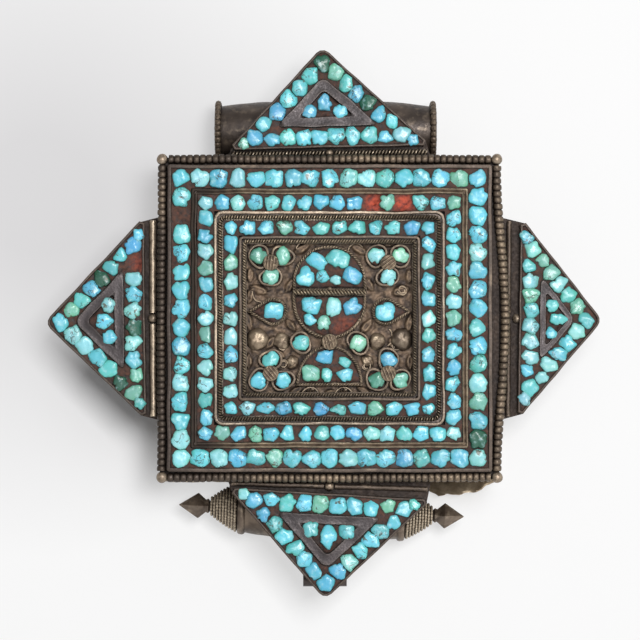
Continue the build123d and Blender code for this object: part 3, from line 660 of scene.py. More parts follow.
def pebble(form, outline, base, top, tint, rng, swell):
    """One tumbled stone over the outline of its CAD solid: chipped blocky edge, ground top."""
    core = middle(outline) + complex(rng.uniform(-0.15, 0.15), rng.uniform(-0.15, 0.15))
    edges = [(((here - core) * out.conjugate()).real, phase(out)) for here, out in sides_of(outline)]
    lobes = [(k, rng.uniform(0.0, 0.16 / k), rng.uniform(0, 2 * pi)) for k in (2, 3, 4, 5, 7, 9, 12)]
    cuts = []
    for _ in range(rng.choice((0, 1, 1, 2))):
        cuts.append((rng.uniform(0, 2 * pi), rng.uniform(0.76, 0.98)))
    chips = []
    for _ in range(rng.choice((0, 1, 2, 3))):
        chips.append((rng.uniform(0, 2 * pi), rng.uniform(0.12, 0.3), rng.uniform(0.08, 0.26)))
    facets = []
    for _ in range(rng.choice((0, 1, 1, 2))):
        facets.append((rect(1, rng.uniform(0, 2 * pi)), rng.uniform(0.3, 1.2), rng.uniform(0.25, 0.6)))
    tilt = rect(rng.uniform(0.0, 0.14), rng.uniform(0, 2 * pi))
    shape = []
    for side in range(STONE_SIDES):
        turn = 2 * pi * side / STONE_SIDES
        reach = sum(max(0.0, cos(turn - angle) / distance) ** 8 for distance, angle in edges) ** (-1 / 8)
        reach *= swell * (1 + sum(size * cos(k * turn + start) for k, size, start in lobes))
        for at, width, depth in chips:
            off = (turn - at + pi) % (2 * pi) - pi
            reach *= 1 - depth * exp(-((off / width) ** 2))
        for at, share in cuts:
            reach = min(reach, share * swell * edges[0][0] / max(0.2, cos(turn - at)))
        shape.append(rect(reach, turn))
    points = []
    tints = []
    # Points towards the stone's edge get a greener, darker tint, in noisy patches
    rim = (tint[0] * 0.68, tint[1] * 0.84, tint[2] * 0.66)
    for share, rise in STONE_PROFILE:
        for arm in shape:
            spot = arm * share
            height = base + (top - base + (spot * tilt.conjugate()).real) * rise
            for way, start, slope in facets:
                height -= slope * max(0.0, (spot * way.conjugate()).real - start) * rise
            point = uneven(lifted(core + spot, height), 0.05 + 0.07 * rise, 1.1)
            points.append(uneven(point, 0.04, 0.4))
            edge_share = max(0.0, share - 0.55) * (1.5 + 1.6 * noise.noise(point / 1.3))
            edge_share = min(1.0, max(0.0, edge_share))
            tints.append(tuple(a + (b - a) * edge_share for a, b in zip(tint, rim)) + (tint[3],))
    form.add(points, capped(len(STONE_PROFILE), STONE_SIDES), tints)


def tint_of(rng, weights):
    """Tint of one stone, a little off the plain ones, with how much it is veined."""
    base = rng.choices(TINTS, weights)[0]
    shade = rng.uniform(0.84, 1.06)
    tint = tuple(share * shade * rng.uniform(0.94, 1.06) for share in base[:3])
    return tint + (rng.random() < VEINED,)


def set_stones(name, node, weights, seed, swell, special=(), inner=None):
    """Stones of one CAD node. special holds places with a tint of their own, or with a stone lost."""
    rng = random.Random(seed)
    form = Form()
    for outline, base, top in outlines_of(node):
        if inner and abs(middle(outline) - inner[0]) < inner[1]:
            outline = [inner[0] + (spot - inner[0]) * inner[2] for spot in outline]
        elif inner and abs(outline[0] - outline[len(outline) // 2]) < SMALL_STONE:
            outline = [spot * SMALL_SPREAD - middle(outline) * SMALL_SHIFT for spot in outline]
        tint = tint_of(rng, weights)
        for spot, own in special:
            if abs(middle(outline) - spot) < SPECIAL_REACH:
                tint = own and tuple(own[:3]) + (SPECIAL_VEINS,)
        if not tint:
            continue
        pebble(form, outline, base, top + rng.uniform(-0.2, 0.15), tint, rng, swell)
    form.piece(name, TURQUOISE, [node], crease=60)


def room_inside(outline, spot, way):
    """How far a way from a spot leads before it meets the far side of an outline."""
    room = VIEW_WIDTH
    for here, out in sides_of(outline):
        toward = (way * out.conjugate()).real
        if toward > 0.01:
            room = min(room, ((here - spot) * out.conjugate()).real / toward)
    return room


def lac_strip(form, outline, width, base, level, bare):
    """Lac in a channel of a width inside an outline, lumpy, reddened near bare places."""
    across = [-width * k / 6 for k in range(7)]
    section = [(-width, base), (0.0, base)] + [(offset, level) for offset in across]
    spots = walk(outline, 0.6)
    points = []
    tints = []
    for spot, out in spots:
        near = min(1.0, LAC_ROOM * room_inside(outline, spot, -out) / width)
        for offset, height in section:
            flat = spot + out * offset * near
            point = lifted(flat, height)
            red = max(share * exp(-((abs(flat - place) / 2.1) ** 4)) for place, share in bare)
            if height > base:
                point.z += noise.noise(point * 1.1) * LAC_LUMPS * (1 + 1.5 * red) - 0.35 * red
            points.append(point)
            tints.append((red, red, red, 1.0))
    form.add(points, bands(len(spots), len(section), True), tints)


# Case and tray
FACE_Z = corners_of("face_plate")[1].z
case_low, case_high = corners_of("case_band")
back_low, back_high = corners_of("back_plate")
tray_low, tray_high = corners_of("tray_band")


def case_walls():
    """Side band of the case: beaten sheet, plain inside where the tray slides."""
    form = Form()
    rise = [case_low.z + (case_high.z - case_low.z) * k / 12 for k in range(13)]
    section = [(-RIM_WALL, rise[-1]), (-RIM_WALL, rise[0])] + [(0.0, level) for level in rise]
    spots = walk(rectangle(case_high.x, case_high.y, 0.6), 1.4)
    points = []
    for spot, out in spots:
        for offset, level in section:
            flat = spot + out * offset
            point = lifted(flat, level)
            if offset == 0.0 and rise[0] < level < rise[-1]:
                dent = noise.noise(point / 6.0) + 0.5 * noise.noise(point / 2.6)
                push = out / abs(out) * 0.14 * dent
                point += lifted(push, 0)
            points.append(point)
    form.add(points, bands(len(spots), len(section), True))
    form.piece("case_walls", BEATEN, ["case_band"])


def back_sheet():
    """Back plate: flat under the tray, its flange bent up and down a little along the edges."""
    form = Form()
    spots = walk(rectangle(back_high.x, back_high.y, 0.8), 0.6)
    inset = 1.0 - (back_high.x - case_high.x)
    rings = [(-2.2 + inset, back_low.z, shrink) for shrink in (0.02, 0.25, 0.5, 0.75, 1.0)]
    for offset, level in (
        (-0.75, back_low.z), (-0.45, back_low.z), (-0.06, back_low.z + 0.1), (0.0, back_low.z + 0.3),
        (0.0, back_high.z - 0.2), (-0.12, back_high.z), (-0.3, back_high.z), (-0.45, back_high.z),
        (-0.6, back_high.z), (-0.75, back_high.z),
    ):
        rings.append((offset, level, 1.0))
    rings += [(-2.2 + inset, back_high.z, 1 - k / 14) for k in range(14)]
    rings.append((-2.2 + inset, back_high.z, 0.02))
    points = []
    for offset, level, shrink in rings:
        for spot, out in spots:
            flat = (spot + out * offset) * shrink
            point = lifted(flat, level)
            if shrink < 1 and level > back_low.z:
                point.z += 0.16 * noise.noise(point / 5.0) + 0.08 * noise.noise(point / 2.2)
            share = fade(offset, -0.8, 0.8)
            bent = FLANGE_BENT * exp(-(abs((flat - FLANGE_SPOT).real / 7) ** 4)) if flat.imag < 0 else 0.0
            if share:
                spread_out = flat + out * bent * share
                wave = noise.noise(point / 4.0) + 0.9 * noise.noise(lifted(spread_out, 0) / 1.1)
                sway = 0.35 * noise.noise(point / 3.0 + Vector((9, 0, 0)))
                shift = out * share * (sway + bent * (1 + 0.25 * wave))
                rise = max(0.0, wave) * (0.35 + 0.6 * bent) + 0.9 * bent
                point += lifted(shift, rise * share)
            points.append(point)
    form.add(points, capped(len(rings), len(spots)))
    # The back sheet's very pale silver is partly painted light for its shaded flange
    form.piece("back_sheet", BACK_SILVER_WITH_PAINTED_LIGHT, ["back_plate"], body="back")


def tray_walls():
    """Band of the tray, which slides into the case."""
    form = Form()
    outline = rectangle(tray_high.x, tray_high.y, 0.5)
    sweep(form, outline, wall(-0.7, 0.0, tray_low.z, tray_high.z), 2.0, 0.03)
    form.piece("tray_walls", SMOOTH, ["tray_band"], body="back")


def border_and_balls():
    """Beaded wire on the four edges, sprung a little on the right, and the silver balls."""
    rng = random.Random(BORDER_SEED)
    balls = Form()
    spots = []
    for outline, base, top in outlines_of("silver_balls"):
        size = max(p.real for p in outline) - middle(outline).real
        core = lifted(middle(outline), (base + top) / 2)
        spots.append(core.copy())
        if core.x > WING_FOOT and abs(core.y) < 10:
            core.x += SPRUNG
        stations = [(base - core.z, size * 0.8), (base - core.z + 0.2, size * 0.86)]
        for turn in range(-50, 90, 14):
            stations.append((size * 1.05 * sin(radians(turn)), size * 1.05 * cos(radians(turn))))
        turned(balls, core, UP, EAST, stations, 24, 0.07, 1.2)
    balls.piece("balls", BRIGHT, ["silver_balls"])
    form = Form()
    edge_x = max(spot.x for spot in spots[:4])
    edge_y = max(spot.y for spot in spots[:4])
    level = FACE_Z + BEAD_RADIUS * 0.92
    turns = ((-1, 1), (-1, -1), (1, -1), (1, 1))
    ring = [Vector((x * edge_x, y * edge_y, level)) for x, y in turns]
    for k, start in enumerate(ring):
        end = ring[(k + 1) % 4]
        stop = (end - start).normalized() * 1.1
        bow = SPRUNG if k == 2 else 0.1
        beaded_run(form, start + stop, end - stop, BEAD_RADIUS, BEAD_PITCH, bow, rng)
    # Soot in patches on the beaded wire, with painted shade darker on the left and upper left
    stain(form, border_soot_and_shade)
    form.piece("beaded_border", SILVER, ["bead_border"])


def border_soot_and_shade(point):
    """Soot of the beaded wire in patches, and painted shade that darkens it more on the left and upper left.
    """
    # Painted shade on the left and upper left
    left = 0.55 * max(fade(-point.x, 10, 20), fade(point.y - point.x, 30, 20))
    return min(0.85, max(0.0, left + 0.32 + 0.8 * noise.noise(point / 9.0)))


def far_side_shade(point):
    """Painted shade on the strips near the panel: darker on the right and at the bottom."""
    return 0.5 * max(fade(point.x, 8, 8), fade(-point.y, 9, 6))


def strips():
    """Rim wall, the strips between the rows and the twisted wires on them."""
    low, high = corners_of("rim_wall")
    form = Form()
    sweep(form, rectangle(high.x, high.y, 0.6), wall(-RIM_WALL, 0.0, low.z, high.z), 1.0, 0.2, 7.0)
    # Painted shade: the rim darkens on its left side
    stain(form, lambda point: 0.8 * fade(-point.x, 26, 5))
    form.piece("rim", DARK_SILVER, ["rim_wall"])
    low, high = corners_of("outer_strip")
    form = Form()
    section = wall(-STRIP_WIDTH, 0.0, low.z, high.z, 0.3)
    section.insert(6, (-STRIP_WIDTH / 2, high.z - 0.22))
    sweep(form, rectangle(high.x, high.y, 0.4), section, 1.0, 0.22, 6.0)
    # Painted shade: the outer strip darkens towards the left
    stain(form, lambda point: 0.9 * fade(-point.x, 17, 7))
    form.piece("strip", ROPE, ["outer_strip"])
    for name, rope, radius in (("middle_strip", "middle_rope", 1.7), ("panel_frame", "panel_rope", 0.8)):
        low, high = corners_of(name)
        rope_low, rope_high = corners_of(rope)
        width = 2 * (rope_high.z - rope_low.z) / 1.6
        form = Form()
        section = [(-LIP - width - 0.1, low.z)] + wall(-LIP, 0.0, low.z, high.z)[1:]
        section += [(-LIP, rope_low.z), (-LIP - width - 0.1, rope_low.z)]
        sweep(form, rectangle(high.x, high.y, radius), section, 0.8, 0.2, 7.0)
        # Painted shade on the middle strip's wall, darker on the right and at the bottom; the panel frame's
        # wall is darkened evenly
        stain(form, far_side_shade if name == "middle_strip" else lambda point: 0.5)
        form.piece(name + "_wall", BRIGHT if name == "middle_strip" else SILVER, [name])
        form = Form()
        line = rectangle(rope_high.x - width / 2, rope_high.y - width / 2, radius * 0.7)
        laid_rope(form, line, rope_low.z + width / 2, width / 2, 1.1)
        # Painted shade on the ropes, darker on the right and at the bottom
        stain(form, far_side_shade)
        form.piece(name + "_rope", ROPE, [rope])


def rows():
    """Lac and stones of the three rows."""
    inside = {"outer_row": "outer_strip", "middle_row": "middle_strip", "inner_row": "panel_frame"}
    for seed, (name, neighbour) in enumerate(inside.items(), ROW_SEED):
        low, high = corners_of(name + "_bed")
        width = high.x - corners_of(neighbour)[1].x
        form = Form()
        lac_strip(form, rectangle(high.x, high.y), width, low.z, high.z + LAC_FILL, BARE_TOP)
        form.piece(name + "_lac", LAC, [name + "_bed"])
        set_stones(name + "_turquoise", name + "_stones", ROW_WEIGHTS, seed, ROW_SWELL, ROW_SPECIAL)


def leaf_rise(point):
    """How far the embossed leaves lift the panel at a point."""
    rise = 0.0
    for x, y, way, length, width in LEAVES:
        arm = complex(point.x - x, point.y - y) * rect(1, -radians(way))
        slim = width * max(0.05, 1 - (arm.real / length) ** 2)
        share = abs(arm.imag) / slim if abs(arm.real) < length else 1.0
        if share < 1.0:
            rise = max(rise, 0.5 * (1 - share ** 2) ** 0.5 - 0.22 * exp(-((arm.imag / 0.22) ** 2)))
    return rise


def panel_ground():
    """Ground of the middle panel: a sheet with embossed leaves."""
    low, high = corners_of("panel_plate")
    ground = Form()
    count = GROUND_CELLS
    top = []
    for row in range(count + 1):
        for column in range(count + 1):
            x = low.x + (high.x - low.x) * column / count
            y = low.y + (high.y - low.y) * row / count
            point = Vector((x, y, high.z))
            point.z += 0.2 * noise.noise(point / 1.7) + 0.12 * noise.noise(point / 0.7) + leaf_rise(point)
            top.append(point)
    line = count + 1
    faces = []
    for row in range(count):
        for column in range(count):
            first = row * line + column
            faces.append((first, first + 1, first + line + 1, first + line))
    rim = list(range(count)) + [k * line + count for k in range(count)]
    rim += [count * line + count - k for k in range(count)] + [(count - k) * line for k in range(count)]
    start = len(top)
    top += [Vector((top[k].x, top[k].y, low.z)) for k in rim]
    for k, index in enumerate(rim):
        after = (k + 1) % len(rim)
        faces.append((index, start + k, start + after, rim[after]))
    faces.append(tuple(range(start, start + len(rim))))
    ground.add(top, faces)
    ground.piece("panel_ground", GROUND, ["panel_plate"], crease=60)


def panel():
    """Collets of the middle panel with their wires, lac and stones."""
    rng = random.Random(COLLET_SEED)
    for node in ("dome_collet", "bowl_collet", "mound_collet", "round_collets", "drop_collets"):
        form = Form()
        for outline, base, crest in outlines_of(node):
            if node == "round_collets":
                outline = oval(outline, rng)
            sweep(form, outline, wall(-COLLET_WALL, 0.0, base, crest, 0.12), 0.7, 0.24, 2.6)
            if node != "round_collets":
                inset = [spot - out * 0.2 for spot, out in walk(outline, 0.8)]
                laid_rope(form, inset, crest - 0.05, 0.34, 1.1)
        form.piece(node + "_wall", SILVER, [node])
    low, high = corners_of("dome_collet")
    seam = [(complex(low.x + (high.x - low.x) * k / 90, low.y - 0.25), 1j) for k in range(91)]
    form = Form()
    twisted_wire(form, seam, high.z + 0.35, 0.5, 11, False)
    form.piece("seam_wire", ROPE, [])
    form = Form()
    for outline, base, level in outlines_of("collet_beds"):
        heap(form, outline, base, level + 0.35, 0.35, 0.3)
    stain(form, lambda p: 0.2 * exp(-((abs(complex(p.x, p.y) - BARE_BOWL) / 2.6) ** 4)))
    form.piece("collet_lac", LAC, ["collet_beds"])
    for seed, (kind, node, weights) in enumerate(PANEL_STONES, PANEL_SEED):
        swell = DROP_SWELL if kind == "drop" else PANEL_SWELL
        set_stones(kind + "_turquoise", node, weights, seed, swell, PANEL_TINTS)


def studs_and_bosses():
    """Ribbed discs on pegs and half-round bosses on the panel."""
    form = Form()
    rng = random.Random(STUD_SEED)
    for outline, base, crest in outlines_of("panel_studs"):
        core = middle(outline)
        size = 1.35 * max(abs(spot - core) for spot in outline)
        turn = rng.uniform(0, pi)
        rings = [(0.3, base), (0.3, crest - 0.85), (0.97, crest - 0.8), (1.0, crest - 0.62)]
        rings += [(1 - 0.06 * k, crest - 0.3 * (1 - 0.06 * k) ** 4) for k in range(1, 17)]
        loops = []
        for share, level in rings:
            for side in range(60):
                arm = rect(size * share, 2 * pi * side / 60)
                groove = 0.1 * cos((arm * rect(1, -turn)).real * 2 * pi / 0.62) * fade(1 - share, 0.04, 0.1)
                flat = core + arm
                loops.append(lifted(flat, level + groove))
        form.add(loops, capped(len(rings), 60))
    form.piece("ribbed_studs", ROPE, ["panel_studs"])
    form = Form()
    for outline, base, crest in outlines_of("panel_bosses"):
        core = middle(outline)
        size = 1.22 * max(abs(spot - core) for spot in outline)
        stations = [(0.0, size)]
        for turn in range(10, 90, 10):
            stations.append(((crest - base) * sin(radians(turn)), size * cos(radians(turn))))
        foot = lifted(core, base)
        turned(form, foot, UP, EAST, stations, 28, 0.22, 0.7)
    stain(form, lambda point: 0.15 + 0.5 * fade(point.x, 12, 1))
    form.piece("bosses", PALE, ["panel_bosses"])


def wire_curl(form, centre, start_radius, end_radius, start, turns, level):
    """Flat spiral of thin wire lying on the panel."""
    steps = max(10, round(turns * 18))
    points = []
    for k in range(steps + 1):
        share = k / steps
        out = rect(1.0, radians(start) + 2 * pi * turns * share)
        core = centre + out * (start_radius + (end_radius - start_radius) * share)
        for side in range(6):
            angle = pi * side / 3
            flat = core + out * CURL_WIRE * cos(angle)
            points.append(uneven(lifted(flat, level + CURL_WIRE * sin(angle)), 0.15, 1.2))
    form.add(points, capped(steps + 1, 6))


def scallop(form, centre, size, level):
    """Low shell of ribs that stands against the frame of the panel."""
    rings = []
    for turn in range(0, 90, 9):
        rings.append((cos(radians(turn)), sin(radians(turn))))
    points = []
    for share, rise in rings:
        for side in range(60):
            ribbed = 1 + 0.14 * cos(12 * 2 * pi * side / 60) * share
            flat = centre + rect(size * share * ribbed, 2 * pi * side / 60)
            points.append(lifted(flat, level + 0.8 * size * rise * ribbed))
    form.add(points, capped(len(rings), 60))


def curls():
    """Wire curls on the panel, arcs round the bosses and the two shells at its lower edge."""
    form = Form()
    level = corners_of("panel_plate")[1].z + 0.3
    for x, y, first, last, start, turns in (
        (14.6, 5.6, 1.0, 0.5, 200, 1.5),
        (-13.4, 5.0, 2.1, 1.6, 170, 0.42),
        (-9.4, -5.7, 0.8, 0.45, 60, 1.2),
        (-9.2, -9.2, 0.9, 0.5, 0, 1.4),
        (13.4, -5.6, 0.9, 0.45, 120, 1.3),
        (7.5, -9.6, 0.9, 0.5, 180, 1.3),
        (-4.6, 13.2, 2.4, 2.2, 70, 0.25),
        (5.2, 13.4, 1.6, 1.4, 30, 0.4),
        (10.2, -3.7, 2.4, 2.3, -50, 0.25),
        (-12.6, -4.4, 1.9, 1.8, 120, 0.3),
    ):
        wire_curl(form, complex(x, y), first, last, start, turns, level)
    for x in (-3.8, 2.9):
        spot = complex(x, -15.6)
        wire_curl(form, spot, 1.75, 1.75, -10, 0.56, level)
        scallop(form, spot, 1.4, level - 0.4)
    form.piece("wire_curls", SILVER, [])


def rounded(outline, reach):
    """Outline with each corner rounded off from a reach away."""
    loop = []
    for k, corner in enumerate(outline):
        arms = [outline[k - 1] - corner, outline[(k + 1) % len(outline)] - corner]
        start, end = [corner + arm / abs(arm) * min(reach, 0.4 * abs(arm)) for arm in arms]
        for step in range(7):
            share = step / 6
            loop.append(start * (1 - share) ** 2 + corner * 2 * share * (1 - share) + end * share ** 2)
    return loop


def flat_frame(form, outline, width, base, top):
    """Flat band of sheet along an outline, its corners rounded off, with a low lip on each edge."""
    inner = [spot - out * width for spot, out in walk(outline, VIEW_WIDTH)]
    outside = rounded(outline, 2.0)
    inside = rounded(inner, 1.3)
    section = ((0.0, base), (0.0, top - 0.15), (0.06, top + 0.05), (0.2, top + 0.06), (0.5, top - 0.06))
    section += ((0.82, top + 0.06), (0.94, top + 0.05), (1.0, top - 0.15), (1.0, base))
    points = []
    count = 0
    for k, here in enumerate(outside):
        n = (k + 1) % len(outside)
        runs = max(1, round(abs(outside[n] - here)))
        count += runs
        for run in range(runs):
            outer = here + (outside[n] - here) * run / runs
            across = inside[k] + (inside[n] - inside[k]) * run / runs - outer
            for share, level in section:
                flat = outer + across * share
                points.append(uneven(lifted(flat, level), 0.2, 4.0))
    form.add(points, bands(count, len(section), True))


def wing(side, seed):
    """One wing: rim, smooth inner frame, lac and stones on its sheet box."""
    bevelled(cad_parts[side + "_wing_box"], 0.2, 2)
    outline, base, top = outlines_of(side + "_wing_rim")[0]
    form = Form()
    sweep(form, outline, wall(-WING_RIM, 0.0, base, top), 1.0, 0.12, 4.0)
    stain(form, lambda point: 0.45)
    form.piece(side + "_rim", DARK_SILVER, [side + "_wing_rim"])
    outline, base, top = outlines_of(side + "_wing_frame")[0]
    form = Form()
    width = RIGHT_FRAME if side == "right" else WING_FRAME
    flat_frame(form, outline, width, base, top)
    form.piece(side + "_frame", FRAME, [side + "_wing_frame"])
    beds = [bed[0] for bed in outlines_of(side + "_wing_beds")]
    border, room = sorted(beds, key=lambda line: -abs(line[0] - middle(line)))
    low, high = corners_of(side + "_wing_beds")
    core = middle(room)
    spots = walk(room, 0.5)
    across = min(abs((out.conjugate() * (spot - core)).real) / abs(out) for spot, out in spots)
    room = [core + (spot - core) * (1 + (WING_FRAME - width) / across) for spot in room]
    inner = (core, across + WING_FRAME, INNER_SPREAD[side])
    form = Form()
    lac_strip(form, border, WING_ROW, low.z, high.z + LAC_FILL - 0.3, [(BARE_WING, 0.35)])
    heap(form, room, low.z, high.z + 0.35, 0.1, 0.3)
    form.piece(side + "_lac", LAC, [side + "_wing_beds"])
    stones = (side + "_turquoise", side + "_wing_stones", WING_WEIGHTS[side], seed)
    set_stones(*stones, WING_SWELL, WING_SPECIAL, inner)


def base_wires():
    """Wires along the foot of the wings: twisted on the top one, plain on the others."""
    rubbed = Form()
    sooty = Form()
    for points in solids_of("base_wires"):
        base, top = levels(points)
        core = sum(points, Vector()) / len(points)
        bright = core.y > WING_FOOT or core.x < -WING_FOOT
        radius = (top - base) * (0.8 if bright else 0.6)
        form = rubbed if bright else sooty
        points.sort(key=lambda p: p.x + p.y * 3 if abs(p.y) < WING_FOOT else p.x)
        half = len(points) // 2
        start = sum(points[:half], Vector()) / half
        end = sum(points[half:], Vector()) / half
        along = (end - start).normalized()
        length = (end - start).length
        if start.y > WING_FOOT:
            runs = round(length / 0.12)
            across = complex(along.y, -along.x)
            spots = []
            for k in range(runs + 1):
                here = start.lerp(end, k / runs)
                spots.append((complex(here.x, here.y), across))
            twisted_wire(form, spots, start.z + 0.25, radius, round(length / 1.3), False)
            continue
        stations = [(0.0, radius * 0.7)]
        stations += [(0.1 + (length - 0.2) * k / 30, radius) for k in range(31)] + [(length, radius * 0.7)]
        turned(form, start, along, UP, stations, 12, 0.1, 3.0)
    rubbed.piece("wing_wires", BRIGHT, ["base_wires"])
    sooty.piece("sooty_wires", DARK_SILVER, [])


def cord_tube():
    """Tube of beaten sheet that swells to its middle, open at both ends, with beaded rings."""
    low, high = corners_of("cord_tube")
    ring_low, ring_high = corners_of("tube_rings")
    centre = Vector(((low.x + high.x) / 2, (ring_low.y + ring_high.y) / 2, (low.z + high.z) / 2))
    half = (high.x - low.x) / 2
    reach = (ring_high.z - ring_low.z) / 2
    end_radius = reach - TUBE_RING - 0.1
    swell = (high.z - low.z) / 2 - end_radius
    inner = end_radius - TUBE_SHEET
    form = Form()
    loops = []
    runs = 60
    for outside in (True, False):
        for k in range(runs + 1):
            share = (2 * k / runs - 1) * (1 if outside else -1)
            for side in range(TUBE_SIDES):
                angle = 2 * pi * side / TUBE_SIDES
                out = Vector((0, cos(angle), sin(angle)))
                radius = inner
                if outside:
                    x = share * half
                    dent = noise.noise(Vector((x / 7, 0, 0)) + out * 1.3)
                    dent += 0.5 * noise.noise(Vector((x / 3, 5, 0)) + out * 3)
                    radius = end_radius + swell * (1 - abs(share) ** 2.6) + 0.2 * dent * (1 - share ** 4)
                loops.append(centre + Vector((share * half, 0, 0)) + out * radius)
    form.add(loops, bands(2 * runs + 2, TUBE_SIDES, True))
    foot = half - 4.0
    near = (centre.x - foot, low.y, centre.z - 2)
    add_block(form, near, (centre.x + foot, centre.y - inner - 0.2, centre.z + 2))
    form.piece("tube", BEATEN, ["cord_tube"])
    form = Form()
    rng = random.Random(RING_SEED)
    for side in (-1, 1):
        spot = centre + Vector((side * (half - TUBE_RING / 2), 0, 0))
        beaded_ring(form, spot, reach - TUBE_RING / 2, TUBE_RING / 2, 1.15, rng)
    stain(form, lambda point: 0.5)
    form.piece("rings", SILVER, ["tube_rings"])


def add_block(form, low, high):
    """Plain block between two corners, with chamfered long edges along X."""
    chamfer = 0.3
    section = []
    for y, z in ((low[1], low[2]), (high[1], low[2]), (high[1], high[2]), (low[1], high[2])):
        dy = chamfer if y == low[1] else -chamfer
        dz = chamfer if z == low[2] else -chamfer
        pair = [(y + dy, z), (y, z + dz)]
        section += pair if (y == low[1]) != (z == low[2]) else pair[::-1]
    points = [Vector((x, y, z)) for x in (low[0], high[0]) for y, z in section]
    form.add(points, capped(2, len(section)))


def spindle():
    """Spindle: smooth swelling, a plain ring, shoulders wound with beaded wire, faceted finials."""
    tips = [point for points in solids_of("spindle_finials") for point in points]
    first = min(tips, key=lambda p: p.x)
    last = max(tips, key=lambda p: p.x)
    low, high = corners_of("spindle_bar")
    centre = (first + last) / 2
    centre.z = (low.z + high.z) / 2
    along = (last - first).normalized()
    along = Vector((along.x, along.y, 0)).normalized()
    across = Vector((-along.y, along.x, 0))
    half = (last - first).length / 2 - FINIAL_LENGTH
    form = Form()
    profile = []
    for k in range(17):
        share = k / 16
        profile.append((share * (SPINDLE_SHOULDER - 1.0), SPINDLE_RADIUS * (1 - 0.17 * share ** 2.4)))
    for x, radius in ((-1.0, 0.83), (-0.8, 0.88), (-0.4, 0.905), (0.2, 0.89), (0.5, 0.86), (0.6, 0.76)):
        profile.append((SPINDLE_SHOULDER + x, SPINDLE_RADIUS * radius))
    profile.append((half, SPINDLE_END * 0.7))
    stations = [(-x, radius) for x, radius in reversed(profile[1:])] + profile
    turned(form, centre, along, UP, stations, 48, 0.14, 3.0)
    pad = SPINDLE_SHOULDER / 2
    near = (centre.x - pad, centre.y + 1, centre.z - 1.8)
    add_block(form, near, (centre.x + pad, high.y, centre.z + 1.8))
    # The spindle's lighter silver is partly painted light for the shade it lies in
    form.piece("spindle_body", SPINDLE, ["spindle_bar"])
    form = Form()
    rng = random.Random(SPINDLE_SEED)
    step = (half - SPINDLE_SHOULDER - 0.8) / SPINDLE_WIRES
    for end in (-1, 1):
        for k in range(SPINDLE_WIRES):
            share = (k + 0.5) / SPINDLE_WIRES
            x = SPINDLE_SHOULDER + 0.7 + step * (k + 0.5)
            size = SPINDLE_RADIUS * 0.8 * (1 - share) + SPINDLE_END * share + 0.9 * share * (1 - share)
            beaded_ring(form, centre + along * end * x, size, step * 0.52, 0.62, rng, 6, 4, along, across)
    # Partly painted light: the wires take the paler silver so that they still look lit in the shade of the
    # case
    form.piece("spindle_wires", BRIGHT, [])
    form = Form()
    wide = FINIAL_WIDTH / 2
    for end in (-1, 1):
        stations = [(0.0, 1.2), (0.4, 1.55), (0.8, 1.3), (FINIAL_LENGTH * 0.38, wide), (FINIAL_LENGTH, 0.12)]
        turned(form, centre + along * end * half, along * end, UP, stations, 4)
    bevelled(form.piece("finials", SPINDLE, ["spindle_finials"], crease=20), 0.16, 3)


def plain_nodes():
    """CAD nodes that keep their own shape get the silver of their kind."""
    plain = {"face_plate": SOOTY, "wing_backs": BEATEN, "tassel_tube": SMOOTH}
    plain.update({side + "_wing_box": SOOTY for side in SIDES})
    for node, material in plain.items():
        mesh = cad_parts[node].data
        mesh.materials.clear()
        mesh.materials.append(material)


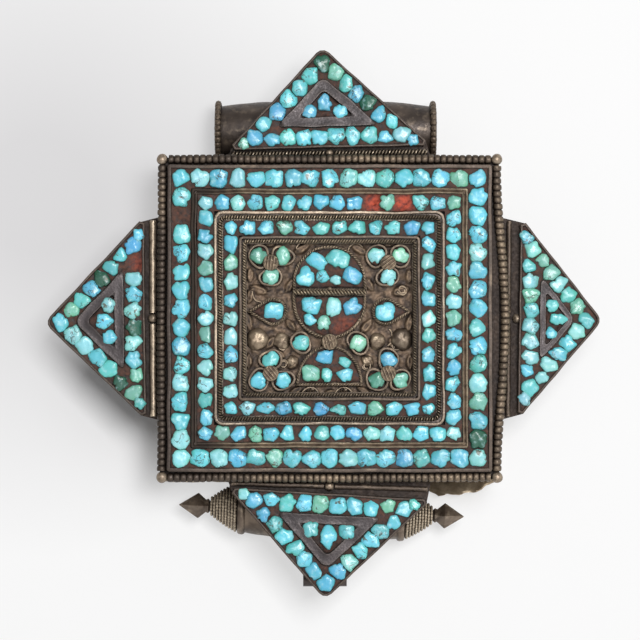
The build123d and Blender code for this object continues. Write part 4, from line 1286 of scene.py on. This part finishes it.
def surroundings():
    """Pale floor, soft light from the upper right and the camera above the lower edge."""
    scene = bpy.context.scene
    scene.view_settings.view_transform = "Standard"
    bpy.ops.mesh.primitive_plane_add(size=FLOOR_SIZE, location=(0, 0, 0))
    floor = bpy.context.object
    floor.name = "floor"
    shader = Shader("floor_paper")
    # Painted shadow: the floor's colour turns from white to grey near a spot up and to the left of the case
    away = shader.add("VectorMath", {0: shader.place, 1: PAINTED_FLOOR_SHADOW}, operation="DISTANCE").outputs["Value"]
    away = shader.spread(away, 0.012, 0.075)
    shade = shader.mix(away, colour(223, 222, 223), colour(252, 252, 252))
    paper = shader.surface(shader.noise(2.0), 0.02, 0.1, Base_Color=shade, Roughness=0.8)
    output = shader.tree.nodes["Material Output"].inputs["Surface"]
    # Painted light: for camera rays the floor partly glows in its own colour, which lightens the object's
    # shadow except near the left wing's lower edge
    glow = shader.add("Emission", {"Color": shade, "Strength": FLOOR_GLOW}).outputs["Emission"]
    near = shader.add("VectorMath", {0: shader.place, 1: WING_SHADOW}, operation="DISTANCE").outputs["Value"]
    lift = shader.spread(near, 0.009, 0.021, 0.0, SHADOW_LIFT)
    lift = shader.math("MULTIPLY", lift, shader.add("LightPath", {}).outputs["Is Camera Ray"])
    lit = shader.add("MixShader", {0: lift, 1: output.links[0].from_socket, 2: glow}).outputs["Shader"]
    shader.tree.links.new(lit, output)
    floor.data.materials.append(paper)
    world = bpy.data.worlds.new("studio")
    scene.world = world
    world.use_nodes = True
    sky = Shader(tree=world.node_tree)
    path = sky.add("LightPath", {})
    mirrored = sky.math("MAXIMUM", path.outputs["Is Glossy Ray"], path.outputs["Is Transmission Ray"])
    side = sky.add("VectorMath", {0: sky.place, 1: BRIGHT_SIDE}, operation="DOT_PRODUCT").outputs["Value"]
    side = sky.spread(side, -0.7, 0.9, 0.35, 1.5)
    level = sky.math("MULTIPLY", sky.spread(mirrored, 0, 1, SKY_FILL, SKY_WHITE), side)
    level = sky.math("MAXIMUM", level, sky.math("MULTIPLY", path.outputs["Is Camera Ray"], SKY_WHITE))
    back = sky.add("Background", {"Color": (1, 1, 1, 1), "Strength": level}).outputs["Background"]
    sky.add("OutputWorld", {"Surface": back})
    lamp = bpy.data.lights.new("window", "AREA")
    lamp.energy = LAMP_POWER
    lamp.size = LAMP_SIZE
    light = linked("window", lamp)
    light.location = LAMP_PLACE
    light.rotation_euler = (-light.location).to_track_quat("-Z", "Y").to_euler()
    data = bpy.data.cameras.new("camera")
    data.sensor_width = SENSOR
    data.lens = SENSOR * VIEW_DISTANCE / VIEW_WIDTH
    camera = linked("camera", data)
    offset = Vector((0, -sin(VIEW_TILT), cos(VIEW_TILT))) * VIEW_DISTANCE
    camera.location = (VIEW_MIDDLE + offset) * MM
    camera.rotation_euler = (-offset).to_track_quat("-Z", "Y").to_euler()
    scene.camera = camera


case_walls()
back_sheet()
tray_walls()
border_and_balls()
strips()
rows()
panel_ground()
panel()
studs_and_bosses()
curls()
for wing_seed, wing_side in enumerate(SIDES, WING_SEED):
    wing(wing_side, wing_seed)
base_wires()
cord_tube()
spindle()
plain_nodes()
surroundings()
